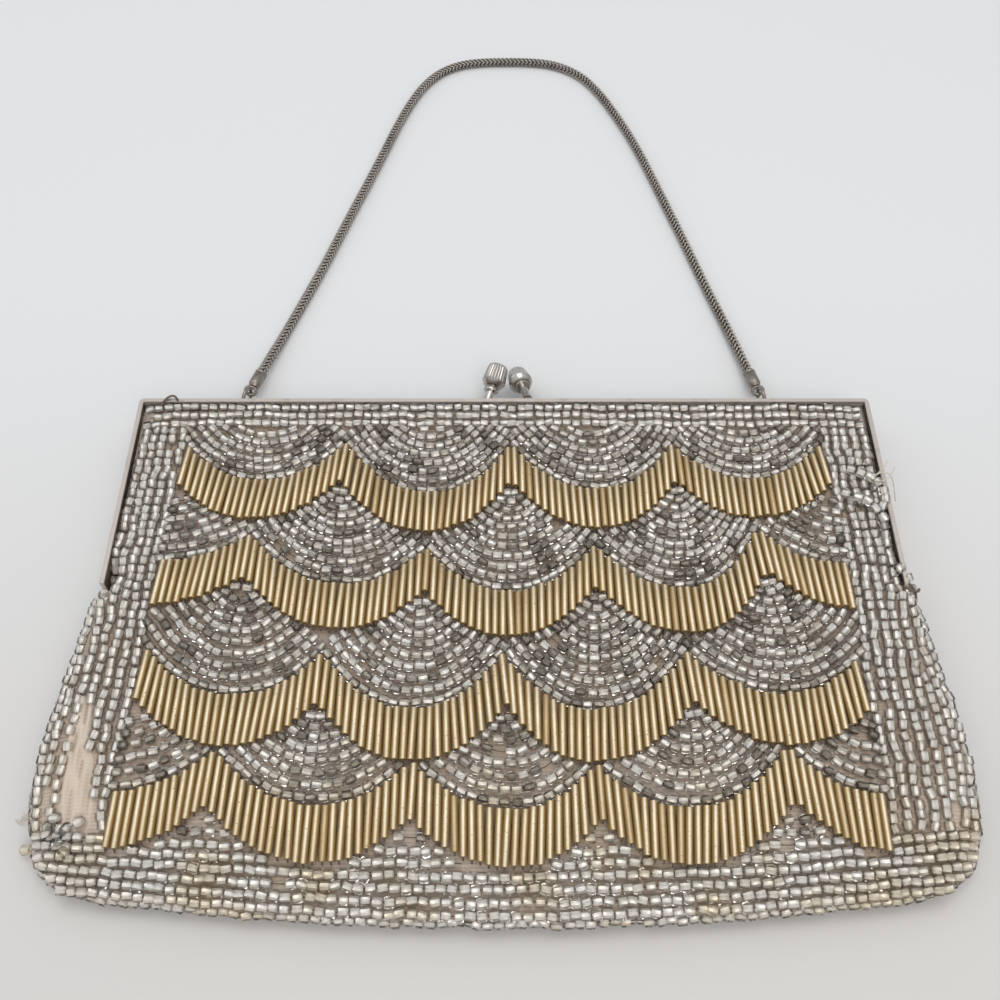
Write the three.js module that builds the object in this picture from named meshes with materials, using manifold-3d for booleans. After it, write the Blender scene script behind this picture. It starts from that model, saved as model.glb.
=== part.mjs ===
// A beaded evening purse that lies on its back. Two halves of a metal frame close on a kiss-lock
// of two crossed knobs. A soft hollow bag hangs in the frame and bulges below its arms. Four
// scalloped bands of long tube beads are sewn across its face, and a round woven chain is the
// handle. Lengths are in millimetres. X runs across the purse, +Y from its bottom edge towards
// the frame and the chain, and +Z up from the surface that it lies on. Inside the purse group
// Y is 0 at the frame's top edge. The exported group is moved so that its origin is the middle
// of the footprint, on that surface.
import * as THREE from "three";
import { mergeVertices } from "three/addons/utils/BufferGeometryUtils.js";
import Module from "manifold-3d";

const wasm = await Module();
wasm.setup();

// Gaps
const CLEARANCE = 0.3;
const BAG_SIDE_GAP = 0.6; // from the bag's edge to the frame's wall
const BAND_GAP = 0.4; // from the bag's face to a band of beads

// Frame
const FRAME_WIDTH = 200;
const FRAME_ARM = 57.3; // from the top edge down to the hinge
const FRAME_THICKNESS = 12.2; // both halves, closed
const FRAME_WALL = 1.2;
const CORNER_RADIUS = 1.4;
const FLANGE_WIDTH = 5;
const FLANGE_THICKNESS = 1;
const FLANGE_DEPTH = 2.7; // from a half's open face to its flange
const FLANGE_STOP = 5.5; // the flange ends this far above the hinge

// Hinges
const TAB_RADIUS = 2.6;
const TAB_SIDES = 16;
const NECK_LENGTH = 6;
const RIVET_RADIUS = 0.9;
const RIVET_HEAD_RADIUS = 1.8;
const RIVET_HEAD = 0.7;
const RIVET_SIDES = 12;

// Bag
const BAG_WIDTH = 216;
const BAG_HEIGHT = 136.4; // from the frame's top edge to the bottom edge
const BAG_THICKNESS = 14.8;
const BAG_WALL = 1.8;
const BAG_SET_IN = 0.6; // how far the bag's faces lie inside the frame's open faces
const RING_STEPS = 20; // across one face of the bag

// Bands of tube beads
const BORDER_WIDTH = 15; // from the frame's outer edge to the ends of the bands
const BEAD_LENGTH = 12.2;
const BEAD_PITCH = 1.88;
const BEAD_HEIGHT = 1.2;
const BEAD_VALLEY = 0.5; // height of the band between two beads
const SCALLOP_POWER = 2.15; // 2 is a parabola, and more is flatter in the valley

// Kiss-lock knobs
const KNOB_SIDES = 12;
const KNOB_RADIUS = 3.4;
const KNOB_LENGTH = 8.3; // from its collar to its top
const KNOB_NECK = 6.3; // the bare post between the boss and the collar
const POST_RADIUS = 1.15;
const BOSS_RADIUS = 1.7;
const BOSS_HEIGHT = 0.6;
const BACK_KNOB = { across: -5.6, height: 4.2, lean: [0.29, 0.91, 0.28] };
const FRONT_KNOB = { across: 6.6, height: 10.2, lean: [-0.2, 0.9, -0.38] };
// The turned outline of a knob, from its collar up. radius is a share of the knob's radius and
// along one of its length.
const KNOB_PROFILE = [
  { radius: 0.61, along: 0 },
  { radius: 0.61, along: 0.1 },
  { radius: 0.44, along: 0.12 },
  { radius: 0.44, along: 0.17 },
  { radius: 0.73, along: 0.18 },
  { radius: 1.0, along: 0.35 },
  { radius: 0.84, along: 0.89 },
  { radius: 0.68, along: 0.965 },
  { radius: 0, along: 1.0 },
];

// Chain and its fittings
const EAR_SPREAD = 73.2; // from the middle of the frame to an ear
const EAR_RADIUS = 2.9;
const EAR_WIRE = 0.6;
const EAR_HEIGHT = 4.4; // of its wire above the surface
const EAR_SINK = 0.5; // how far the ear is sunk into the frame's wall
const LINK_RADIUS = 2.5;
const LINK_WIRE = 0.5;
const EYE_RADIUS = 1.5;
const EYE_WIRE = 0.5;
const CAP_RADIUS = 1.75;
const CAP_MOUTH = 1.15; // radius of its narrow end, at the eye
const CAP_SHOULDER = 0.9; // length of its taper
const CAP_LENGTH = 6;
const CAP_SIDES = 12;
const CHAIN_RADIUS = 1.45;
const CHAIN_REACH = 160.1; // from the frame's top edge to the middle of the chain's far bend
const CHAIN_SIDES = 8;
const CHAIN_STEPS = 60;
const CHAIN_LIFT = 0.05; // between the chain and the surface

// Sections of the bag between the frame's arms. down is a share of the arm. full is 0 where the
// face lies in the frame's plane and 1 at the bag's full thickness. square is the power of the
// face's outline, where 2 is an ellipse and more is squarer.
const FRAMED_SECTIONS = [
  { down: 0.2, full: 0.04, square: 22 },
  { down: 0.45, full: 0.3, square: 16 },
  { down: 0.7, full: 0.62, square: 11 },
  { down: 0.9, full: 0.82, square: 8 },
  { down: 1.0, full: 0.88, square: 7 },
];

// Sections of the bag below the arms. down is a share of the free height and wide one of half
// the bag's width. droop lifts a section's ends, as a share of the bag's height. front, seam and
// back are heights above the surface, as shares of the bag's thickness.
const FREE_SECTIONS = [
  { down: 0.012, wide: 0.912, droop: 0, front: 0.965, seam: 0.41, back: 0.0, square: 6.6 },
  { down: 0.045, wide: 0.948, droop: 0, front: 0.97, seam: 0.4, back: 0.0, square: 5.2 },
  { down: 0.1, wide: 0.957, droop: 0, front: 0.985, seam: 0.38, back: 0.0, square: 4 },
  { down: 0.2, wide: 0.969, droop: 0.001, front: 1.0, seam: 0.35, back: 0.0, square: 3.3 },
  { down: 0.36, wide: 0.987, droop: 0.004, front: 1.0, seam: 0.33, back: 0.0, square: 3 },
  { down: 0.55, wide: 1.0, droop: 0.01, front: 0.965, seam: 0.31, back: 0.0, square: 2.9 },
  { down: 0.7, wide: 0.997, droop: 0.022, front: 0.88, seam: 0.3, back: 0.0, square: 2.9 },
  { down: 0.82, wide: 0.983, droop: 0.034, front: 0.77, seam: 0.29, back: 0.0, square: 3 },
  { down: 0.91, wide: 0.959, droop: 0.041, front: 0.64, seam: 0.28, back: 0.012, square: 3.2 },
  { down: 0.962, wide: 0.924, droop: 0.044, front: 0.53, seam: 0.28, back: 0.04, square: 3.4 },
  { down: 0.989, wide: 0.895, droop: 0.044, front: 0.43, seam: 0.27, back: 0.1, square: 3.6 },
  { down: 1.0, wide: 0.872, droop: 0.044, front: 0.33, seam: 0.26, back: 0.19, square: 3.8 },
];
const MOUTH_SQUARE = 24; // the mouth follows the frame's corners
const BACK_SQUARE = 8; // the face that lies on the surface is nearly flat

// Upper edges of the bands of tube beads. Each row is a point, across as a share of the bands'
// half width and down as a share of the bag's height. Cusps and valleys take turns, and first
// says which comes at the left end.
const BANDS = [
  {
    first: "cusp",
    points: [
      { across: -1.0, down: 0.115 },
      { across: -0.755, down: 0.2 },
      { across: -0.498, down: 0.113 },
      { across: -0.228, down: 0.229 },
      { across: 0.02, down: 0.113 },
      { across: 0.284, down: 0.221 },
      { across: 0.527, down: 0.112 },
      { across: 0.752, down: 0.197 },
      { across: 1.0, down: 0.113 },
    ],
  },
  {
    first: "valley",
    points: [
      { across: -1.01, down: 0.38 },
      { across: -0.752, down: 0.325 },
      { across: -0.461, down: 0.43 },
      { across: -0.231, down: 0.354 },
      { across: 0.008, down: 0.444 },
      { across: 0.266, down: 0.346 },
      { across: 0.518, down: 0.438 },
      { across: 0.756, down: 0.312 },
      { across: 1.0, down: 0.388 },
    ],
  },
  {
    first: "cusp",
    points: [
      { across: -1.01, down: 0.548 },
      { across: -0.732, down: 0.639 },
      { across: -0.506, down: 0.566 },
      { across: -0.249, down: 0.665 },
      { across: 0.0, down: 0.569 },
      { across: 0.238, down: 0.667 },
      { across: 0.506, down: 0.562 },
      { across: 0.754, down: 0.636 },
      { across: 0.985, down: 0.572 },
    ],
  },
  {
    first: "valley",
    points: [
      { across: -1.03, down: 0.797 },
      { across: -0.77, down: 0.734 },
      { across: -0.485, down: 0.822 },
      { across: -0.246, down: 0.756 },
      { across: 0.02, down: 0.829 },
      { across: 0.241, down: 0.758 },
      { across: 0.479, down: 0.826 },
      { across: 0.747, down: 0.727 },
      { across: 0.993, down: 0.802 },
    ],
  },
];

// The chain's route from the left cap to the right one, chosen by hand. across is a share of the
// ears' spread and up one of the chain's reach. lift is in millimetres, above where it lies.
const CHAIN_ROUTE = [
  { across: -0.896, up: 0.194, lift: 0.15 },
  { across: -0.836, up: 0.275, lift: 0 },
  { across: -0.775, up: 0.359, lift: 0 },
  { across: -0.719, up: 0.443, lift: 0 },
  { across: -0.663, up: 0.528, lift: 0 },
  { across: -0.604, up: 0.615, lift: 0 },
  { across: -0.545, up: 0.706, lift: 0 },
  { across: -0.493, up: 0.787, lift: 0 },
  { across: -0.441, up: 0.856, lift: 0 },
  { across: -0.378, up: 0.918, lift: 0 },
  { across: -0.301, up: 0.962, lift: 0 },
  { across: -0.208, up: 0.988, lift: 0 },
  { across: -0.101, up: 0.998, lift: 0 },
  { across: 0.014, up: 1.0, lift: 0 },
  { across: 0.116, up: 0.999, lift: 0 },
  { across: 0.213, up: 0.993, lift: 0 },
  { across: 0.302, up: 0.976, lift: 0 },
  { across: 0.386, up: 0.944, lift: 0 },
  { across: 0.46, up: 0.892, lift: 0 },
  { across: 0.528, up: 0.824, lift: 0 },
  { across: 0.587, up: 0.754, lift: 0 },
  { across: 0.638, up: 0.681, lift: 0 },
  { across: 0.684, up: 0.606, lift: 0 },
  { across: 0.728, up: 0.531, lift: 0 },
  { across: 0.775, up: 0.452, lift: 0 },
  { across: 0.818, up: 0.375, lift: 0 },
  { across: 0.861, up: 0.3, lift: 0.05 },
  { across: 0.904, up: 0.228, lift: 0.35 },
];
// The way that each end of the chain leaves its ear, as x, y and z.
const LEFT_PULL = new THREE.Vector3(0.27, 0.957, -0.12);
const RIGHT_PULL = new THREE.Vector3(-0.2, 0.972, -0.12);

// Derived sizes
const HALF_WIDTH = FRAME_WIDTH / 2;
const HALF_DEPTH = (FRAME_THICKNESS - CLEARANCE) / 2;
const MID_HEIGHT = FRAME_THICKNESS / 2;
const BAG_TOP = FRAME_WALL + CLEARANCE;
const BAND_HALF_WIDTH = HALF_WIDTH - BORDER_WIDTH;
const SLIT_END = FRAME_ARM + TAB_RADIUS + CLEARANCE;

// Materials, in the colours of the photograph
const glassAndCloth = new THREE.MeshStandardMaterial({ color: 0xb3aca2, roughness: 0.45, metalness: 0.2 });
const goldTube = new THREE.MeshStandardMaterial({ color: 0xc4a469, roughness: 0.38, metalness: 0.7 });
const nickel = new THREE.MeshStandardMaterial({ color: 0xc2b8ae, roughness: 0.32, metalness: 1 });
const knobNickel = new THREE.MeshStandardMaterial({ color: 0xcfccc8, roughness: 0.22, metalness: 1 });
const chainNickel = new THREE.MeshStandardMaterial({ color: 0x8f8a82, roughness: 0.4, metalness: 1 });

// Turns a closed three.js geometry into a solid that can be joined and cut.
function solid(geometry) {
  const bare = geometry.clone();
  bare.deleteAttribute("normal");
  bare.deleteAttribute("uv");
  const merged = mergeVertices(bare, 1e-4);
  return new wasm.Manifold(
    new wasm.Mesh({
      numProp: 3,
      vertProperties: new Float32Array(merged.attributes.position.array),
      triVerts: new Uint32Array(merged.index.array),
    }),
  );
}

// Turns a solid back into a geometry with flat faces.
function geometryOf(body) {
  const mesh = body.getMesh();
  const geometry = new THREE.BufferGeometry();
  geometry.setAttribute("position", new THREE.BufferAttribute(new Float32Array(mesh.vertProperties), 3));
  geometry.setIndex(new THREE.BufferAttribute(new Uint32Array(mesh.triVerts), 1));
  const flat = geometry.toNonIndexed();
  flat.computeVertexNormals();
  return flat;
}

function namedMesh(name, geometry, material) {
  const mesh = new THREE.Mesh(geometry, material);
  mesh.name = name;
  return mesh;
}

// A box between two corners.
function boxBetween(low, high) {
  const size = high.map((value, axis) => value - low[axis]);
  const middle = high.map((value, axis) => (value + low[axis]) / 2);
  return new THREE.BoxGeometry(...size).translate(...middle);
}

// A cylinder along X, from one x to another.
function discAcross(radius, fromX, toX, y, z, sides) {
  return new THREE.CylinderGeometry(radius, radius, Math.abs(toX - fromX), sides)
    .rotateZ(Math.PI / 2)
    .translate((fromX + toX) / 2, y, z);
}

// A closed surface through rings of equally many points, with a fan over the first and last.
function loftRings(rings) {
  const count = rings[0].length;
  const positions = rings.flat(2);
  const index = [];
  for (let ring = 0; ring < rings.length - 1; ring++) {
    for (let step = 0; step < count; step++) {
      const here = ring * count + step;
      const next = ring * count + ((step + 1) % count);
      index.push(here, next, next + count, here, next + count, here + count);
    }
  }
  const addFan = (ring, outwards) => {
    const middle = positions.length / 3;
    const start = ring * count;
    const sum = rings[ring].reduce((total, point) => total.map((value, axis) => value + point[axis]));
    positions.push(...sum.map((value) => value / count));
    for (let step = 0; step < count; step++) {
      const here = start + step;
      const next = start + ((step + 1) % count);
      index.push(...(outwards ? [here, next, middle] : [next, here, middle]));
    }
  };
  addFan(0, false);
  addFan(rings.length - 1, true);
  const geometry = new THREE.BufferGeometry();
  geometry.setAttribute("position", new THREE.BufferAttribute(new Float32Array(positions), 3));
  geometry.setIndex(index);
  geometry.computeVertexNormals();
  return geometry;
}

// The bag's sections from the mouth to the bottom edge, in millimetres.
function bagSections() {
  const framedWide = HALF_WIDTH - FRAME_WALL - BAG_SIDE_GAP;
  const frontInFrame = FRAME_THICKNESS - BAG_SET_IN;
  const framed = [{ down: BAG_TOP / FRAME_ARM, full: 0, square: MOUTH_SQUARE }, ...FRAMED_SECTIONS];
  const free = BAG_HEIGHT - FRAME_ARM;
  return [
    ...framed.map((row) => ({
      down: row.down * FRAME_ARM,
      wide: framedWide,
      droop: 0,
      front: THREE.MathUtils.lerp(frontInFrame, FREE_SECTIONS[0].front * BAG_THICKNESS, row.full),
      seam: MID_HEIGHT,
      back: THREE.MathUtils.lerp(BAG_SET_IN, 0, row.full),
      square: row.square,
    })),
    ...FREE_SECTIONS.map((row) => ({
      down: FRAME_ARM + row.down * free,
      wide: (row.wide * BAG_WIDTH) / 2,
      droop: row.droop * BAG_HEIGHT,
      front: row.front * BAG_THICKNESS,
      seam: row.seam * BAG_THICKNESS,
      back: row.back * BAG_THICKNESS,
      square: row.square,
    })),
  ];
}

// Height of one face above the seam, from 0 to 1, at a share of the half width.
function faceShape(share, square) {
  return Math.pow(Math.max(0, 1 - Math.pow(Math.abs(share), square)), 1 / square);
}

// A value of the bag's sections at a distance down, on a cubic through the sections.
function sectionValue(sections, column, down) {
  const last = sections.length - 2;
  const at = Math.min(last, Math.max(0, sections.findIndex((row) => row.down > down) - 1));
  const row = down >= sections[last + 1].down ? last : at;
  const slope = (index) => {
    const before = sections[Math.max(0, index - 1)];
    const after = sections[Math.min(last + 1, index + 1)];
    return (after[column] - before[column]) / (after.down - before.down);
  };
  const from = sections[row];
  const to = sections[row + 1];
  const span = to.down - from.down;
  const t = THREE.MathUtils.clamp((down - from.down) / span, 0, 1);
  const rise = t * t * (3 - 2 * t);
  return (
    from[column] * (1 - rise) +
    to[column] * rise +
    span * (slope(row) * t * (1 - t) * (1 - t) - slope(row + 1) * t * t * (1 - t))
  );
}

// Height of the bag's front face at a place across and down.
function frontHeight(sections, across, down) {
  let middle = down;
  for (let pass = 0; pass < 6; pass++) {
    const share = across / sectionValue(sections, "wide", middle);
    middle = down + sectionValue(sections, "droop", middle) * share * share;
  }
  const share = across / sectionValue(sections, "wide", middle);
  const seam = sectionValue(sections, "seam", middle);
  const front = sectionValue(sections, "front", middle);
  return seam + (front - seam) * faceShape(share, sectionValue(sections, "square", middle));
}

// One ring of the bag: over the front from left to right, and back under it. inset takes the
// ring in by a wall's thickness.
function bagRing(row, inset) {
  const wide = row.wide - inset;
  const front = row.front - inset;
  const back = row.back + inset;
  const seam = THREE.MathUtils.clamp(row.seam, back, front);
  const points = [];
  for (let step = 0; step < 2 * RING_STEPS; step++) {
    const angle = -Math.PI / 2 + (Math.PI * step) / RING_STEPS;
    const share = Math.sin(angle);
    const onFront = step <= RING_STEPS;
    const height = onFront
      ? seam + (front - seam) * faceShape(share, row.square)
      : seam - (seam - back) * faceShape(share, Math.max(BACK_SQUARE, row.square));
    points.push([share * wide, -(row.down - row.droop * share * share), height]);
  }
  return points;
}

// The hollow bag, open at its mouth and slit down both sides as far as the hinges.
function bagGeometry(sections) {
  const floor = BAG_HEIGHT - 2.2 * BAG_WALL;
  // The inside takes every second section, which is fine enough where it doesn't show.
  const inner = sections.filter((row, order) => order % 2 === 0 && row.down < floor - BAG_WALL);
  const deepest = inner[inner.length - 1];
  const closing = {
    ...deepest,
    down: floor,
    wide: deepest.wide - 2 * BAG_WALL,
    front: deepest.seam + 0.7 * BAG_WALL + BAG_WALL,
    back: deepest.seam - 0.7 * BAG_WALL - BAG_WALL,
  };
  const rings = [
    ...sections.map((row) => bagRing(row, 0)).reverse(),
    ...inner.map((row) => bagRing(row, BAG_WALL)),
    bagRing(closing, BAG_WALL),
  ];
  let bag = solid(loftRings(rings));
  const slitLow = BAG_SET_IN + BAG_WALL;
  const slitHigh = FRAME_THICKNESS - slitLow;
  const slitIn = HALF_WIDTH - FRAME_WALL - FLANGE_WIDTH - CLEARANCE;
  const slitOut = Math.max(BAG_WIDTH, FRAME_WIDTH) / 2 + FRAME_WALL;
  for (const side of [-1, 1]) {
    const xs = [side * slitIn, side * slitOut].sort((a, b) => a - b);
    const slit = boxBetween([xs[0], -SLIT_END, slitLow], [xs[1], FRAME_WALL, slitHigh]);
    bag = bag.subtract(solid(slit));
  }
  return geometryOf(bag);
}

// Distance down to a band's upper edge at a place across, both in millimetres.
function bandEdge(band, across) {
  const points = band.points.map((point, order) => ({
    across: point.across * BAND_HALF_WIDTH,
    down: point.down * BAG_HEIGHT,
    cusp: (order % 2 === 0) === (band.first === "cusp"),
  }));
  const right = Math.max(1, points.findIndex((point) => point.across >= across));
  const pair = [points[right - 1], points[right]];
  const [cusp, valley] = pair[0].cusp ? pair : [pair[1], pair[0]];
  const share = Math.abs((across - valley.across) / (cusp.across - valley.across));
  return valley.down + (cusp.down - valley.down) * Math.pow(share, SCALLOP_POWER);
}

// One band: its tube beads side by side, fused into one scalloped ribbon that lies on the bag.
function bandGeometry(sections, band) {
  const left = band.points[0].across * BAND_HALF_WIDTH;
  const right = band.points[band.points.length - 1].across * BAND_HALF_WIDTH;
  const beads = Math.round((right - left) / BEAD_PITCH);
  const rings = [];
  for (let column = 0; column <= 2 * beads; column++) {
    const across = left + ((right - left) * column) / (2 * beads);
    const top = bandEdge(band, THREE.MathUtils.clamp(across, left + 1e-6, right - 1e-6));
    const thick = column % 2 ? BEAD_HEIGHT : BEAD_VALLEY;
    const [start, middle, end] = [0, 0.5, 1].map((share) => frontHeight(sections, across, top + share * BEAD_LENGTH));
    // A straight bead lies on the crown of the curve below it.
    const lift = BAND_GAP + Math.max(0, middle - (start + end) / 2);
    const [upper, lower] = [start + lift, end + lift];
    rings.push([
      [across, -top, upper],
      [across, -top, upper + thick],
      [across, -top - BEAD_LENGTH, lower + thick],
      [across, -top - BEAD_LENGTH, lower],
    ]);
  }
  return loftRings(rings);
}

// A U of the frame's outline, inset from the outer edge by one amount and closed by another.
function frameOutline(outerInset, innerInset, arm) {
  const outer = HALF_WIDTH - outerInset;
  const inner = HALF_WIDTH - innerInset;
  const radius = outerInset === 0 ? CORNER_RADIUS : 0;
  const shape = new THREE.Shape();
  shape.moveTo(-outer, -arm);
  shape.lineTo(-inner, -arm);
  shape.lineTo(-inner, -innerInset);
  shape.lineTo(inner, -innerInset);
  shape.lineTo(inner, -arm);
  shape.lineTo(outer, -arm);
  if (radius > 0) {
    shape.lineTo(outer, -radius);
    shape.absarc(outer - radius, -radius, radius, 0, Math.PI / 2, false);
    shape.lineTo(-outer + radius, 0);
    shape.absarc(-outer + radius, -radius, radius, Math.PI / 2, Math.PI, false);
  } else {
    shape.lineTo(outer, -outerInset);
    shape.lineTo(-outer, -outerInset);
  }
  return shape;
}

// A plate of an outline between two heights.
function plate(shape, low, high) {
  return new THREE.ExtrudeGeometry(shape, { depth: high - low, bevelEnabled: false, curveSegments: 4 }).translate(
    0,
    0,
    low,
  );
}

// The wall, the flange behind the cloth, and the post's boss that both halves have.
function frameHalf(low, flangeLow, knob) {
  const wall = solid(plate(frameOutline(0, FRAME_WALL, FRAME_ARM), low, low + HALF_DEPTH));
  // The flange runs a little into the wall, so that the two fuse.
  const flangeOutline = frameOutline(FRAME_WALL / 2, FRAME_WALL + FLANGE_WIDTH, FRAME_ARM - FLANGE_STOP);
  const flange = solid(plate(flangeOutline, flangeLow, flangeLow + FLANGE_THICKNESS));
  const boss = new THREE.CylinderGeometry(BOSS_RADIUS, BOSS_RADIUS, BOSS_HEIGHT + FRAME_WALL / 2, KNOB_SIDES);
  boss.translate(knob.across, (BOSS_HEIGHT - FRAME_WALL / 2) / 2, knob.height);
  return wall.add(flange).add(solid(boss));
}

const TAB_OUTER = { from: HALF_WIDTH - FRAME_WALL, to: HALF_WIDTH };
const TAB_INNER = {
  from: HALF_WIDTH - 2 * FRAME_WALL - CLEARANCE,
  to: HALF_WIDTH - FRAME_WALL - CLEARANCE,
};

// A hinge tab or the room for one, on one side of the frame.
function tabDisc(radius, layer, side, grow = 0) {
  return solid(
    discAcross(radius, side * (layer.from - grow), side * (layer.to + grow), -FRAME_ARM, MID_HEIGHT, TAB_SIDES),
  );
}

// The front half, whose hinge tabs lie in line with its arms.
function frontFrameGeometry() {
  const low = FRAME_THICKNESS - HALF_DEPTH;
  let half = frameHalf(low, FRAME_THICKNESS - FLANGE_DEPTH - FLANGE_THICKNESS, FRONT_KNOB);
  for (const side of [-1, 1]) {
    half = half.add(tabDisc(TAB_RADIUS, TAB_OUTER, side));
    half = half.subtract(tabDisc(RIVET_RADIUS + CLEARANCE, TAB_OUTER, side, FRAME_WALL));
  }
  return geometryOf(half);
}

// The back half. Its tabs step in behind those of the front half, and it carries the ears.
function backFrameGeometry() {
  let half = frameHalf(0, FLANGE_DEPTH, BACK_KNOB);
  for (const side of [-1, 1]) {
    const xs = [side * TAB_INNER.from, side * HALF_WIDTH].sort((a, b) => a - b);
    const neck = boxBetween(
      [xs[0], -FRAME_ARM, FLANGE_DEPTH + FLANGE_THICKNESS / 2],
      [xs[1], -FRAME_ARM + NECK_LENGTH, HALF_DEPTH],
    );
    const room = { from: TAB_INNER.to, to: HALF_WIDTH + FRAME_WALL };
    half = half.add(solid(neck)).subtract(tabDisc(TAB_RADIUS + CLEARANCE, room, side));
    half = half.add(tabDisc(TAB_RADIUS, TAB_INNER, side));
    half = half.subtract(tabDisc(RIVET_RADIUS + CLEARANCE, TAB_INNER, side, FRAME_WALL));
    const ear = new THREE.TorusGeometry(EAR_RADIUS, EAR_WIRE, 6, 12);
    ear.translate(side * EAR_SPREAD, EAR_RADIUS - EAR_SINK, EAR_HEIGHT);
    half = half.add(solid(ear));
  }
  return geometryOf(half);
}

// A rivet through both tabs of one hinge, with a head on each side.
function rivetGeometry(side) {
  const headIn = TAB_INNER.from - CLEARANCE;
  const headOut = HALF_WIDTH + CLEARANCE;
  const piece = (radius, from, to) =>
    solid(discAcross(radius, side * from, side * to, -FRAME_ARM, MID_HEIGHT, RIVET_SIDES));
  return geometryOf(
    piece(RIVET_RADIUS, headIn - RIVET_HEAD / 2, headOut + RIVET_HEAD / 2)
      .add(piece(RIVET_HEAD_RADIUS, headIn - RIVET_HEAD, headIn))
      .add(piece(RIVET_HEAD_RADIUS, headOut, headOut + RIVET_HEAD)),
  );
}

// A kiss-lock knob with its post, turned about its own axis and leaning over the other half.
function knobMesh(name, knob) {
  const post = [
    new THREE.Vector2(0, 0),
    new THREE.Vector2(POST_RADIUS, 0),
    new THREE.Vector2(POST_RADIUS, KNOB_NECK),
  ];
  const head = KNOB_PROFILE.map(
    (row) => new THREE.Vector2(row.radius * KNOB_RADIUS, KNOB_NECK + row.along * KNOB_LENGTH),
  );
  const profile = [...post, ...head];
  const mesh = namedMesh(name, new THREE.LatheGeometry(profile, KNOB_SIDES), knobNickel);
  const lean = new THREE.Vector3(...knob.lean).normalize();
  const seat = BOSS_HEIGHT + CLEARANCE + POST_RADIUS * Math.sqrt(1 - lean.y * lean.y);
  mesh.position.set(knob.across, seat, knob.height);
  mesh.quaternion.setFromUnitVectors(new THREE.Vector3(0, 1, 0), lean);
  return mesh;
}

// Distances along the pull from the middle of an ear's far wire.
const LINK_AT = LINK_RADIUS - LINK_WIRE - EAR_WIRE - CLEARANCE;
const EYE_AT = LINK_AT + LINK_RADIUS - LINK_WIRE - EYE_WIRE - CLEARANCE + EYE_RADIUS;
const CAP_AT = EYE_AT + EYE_RADIUS - EYE_WIRE / 5;
const CHAIN_AT = CAP_AT + CAP_LENGTH + CLEARANCE;

// The frame of an end fitting: the middle of the ear's far wire, and the way that the chain pulls.
function fittingPlace(side) {
  const pull = (side < 0 ? LEFT_PULL : RIGHT_PULL).clone().normalize();
  const wire = new THREE.Vector3(side * EAR_SPREAD, 2 * EAR_RADIUS - EAR_SINK, EAR_HEIGHT);
  return { pull, wire, at: (distance) => wire.clone().addScaledVector(pull, distance) };
}

// The jump link between an ear and a cap, on edge, so that it passes through both holes.
function linkMesh(name, side) {
  const { pull, at } = fittingPlace(side);
  const link = namedMesh(name, new THREE.TorusGeometry(LINK_RADIUS, LINK_WIRE, 6, 16), chainNickel);
  const level = new THREE.Vector3(pull.y, -pull.x, 0).normalize();
  link.position.copy(at(LINK_AT));
  link.quaternion.setFromUnitVectors(new THREE.Vector3(0, 0, 1), level);
  return link;
}

// The cap that ends the chain, with its eye. It points along Y before it is turned.
function capMesh(name, side) {
  const { pull, at } = fittingPlace(side);
  const profile = [
    [0, 0],
    [CAP_MOUTH, 0],
    [CAP_RADIUS, CAP_SHOULDER],
    [CAP_RADIUS, CAP_LENGTH],
    [0, CAP_LENGTH],
  ].map(([radius, along]) => new THREE.Vector2(radius, along));
  const body = solid(new THREE.LatheGeometry(profile, CAP_SIDES));
  const eye = new THREE.TorusGeometry(EYE_RADIUS, EYE_WIRE, 6, 12).translate(0, EYE_AT - CAP_AT, 0);
  const cap = namedMesh(name, geometryOf(body.add(solid(eye))), chainNickel);
  cap.position.copy(at(CAP_AT));
  cap.quaternion.setFromUnitVectors(new THREE.Vector3(0, 1, 0), pull);
  return cap;
}

// The chain, as one round cord-like tube from cap to cap.
function chainGeometry() {
  const lies = CHAIN_RADIUS * Math.cos(Math.PI / CHAIN_SIDES) + CHAIN_LIFT;
  const route = CHAIN_ROUTE.map(
    (point) => new THREE.Vector3(point.across * EAR_SPREAD, point.up * CHAIN_REACH, lies + point.lift),
  );
  const [left, right] = [fittingPlace(-1), fittingPlace(1)];
  const curve = new THREE.CatmullRomCurve3(
    [
      left.at(CHAIN_AT),
      left.at(CHAIN_AT + 3 * CHAIN_RADIUS),
      ...route,
      right.at(CHAIN_AT + 3 * CHAIN_RADIUS),
      right.at(CHAIN_AT),
    ],
    false,
    "centripetal",
  );
  const section = new THREE.Shape();
  for (let side = 0; side < CHAIN_SIDES; side++) {
    const angle = (2 * Math.PI * (side + 0.5)) / CHAIN_SIDES;
    const point = [CHAIN_RADIUS * Math.cos(angle), CHAIN_RADIUS * Math.sin(angle)];
    section[side ? "lineTo" : "moveTo"](...point);
  }
  return new THREE.ExtrudeGeometry(section, { steps: CHAIN_STEPS, extrudePath: curve, bevelEnabled: false });
}

const sections = bagSections();
const purse = new THREE.Group();
purse.add(
  namedMesh("beaded_bag", bagGeometry(sections), glassAndCloth),
  ...BANDS.map((band, order) => namedMesh(`tube_bead_band_${order + 1}`, bandGeometry(sections, band), goldTube)),
  namedMesh("frame_front", frontFrameGeometry(), nickel),
  namedMesh("frame_back", backFrameGeometry(), nickel),
  namedMesh("hinge_rivet_left", rivetGeometry(-1), nickel),
  namedMesh("hinge_rivet_right", rivetGeometry(1), nickel),
  knobMesh("clasp_knob_front", FRONT_KNOB),
  knobMesh("clasp_knob_back", BACK_KNOB),
  linkMesh("chain_link_left", -1),
  linkMesh("chain_link_right", 1),
  capMesh("chain_cap_left", -1),
  capMesh("chain_cap_right", 1),
  namedMesh("chain", chainGeometry(), chainNickel),
);
// The footprint runs from the bag's bottom edge to the chain's far bend.
purse.position.y = (BAG_HEIGHT - (CHAIN_REACH + CHAIN_RADIUS)) / 2;

const part = new THREE.Group();
part.add(purse);

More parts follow.
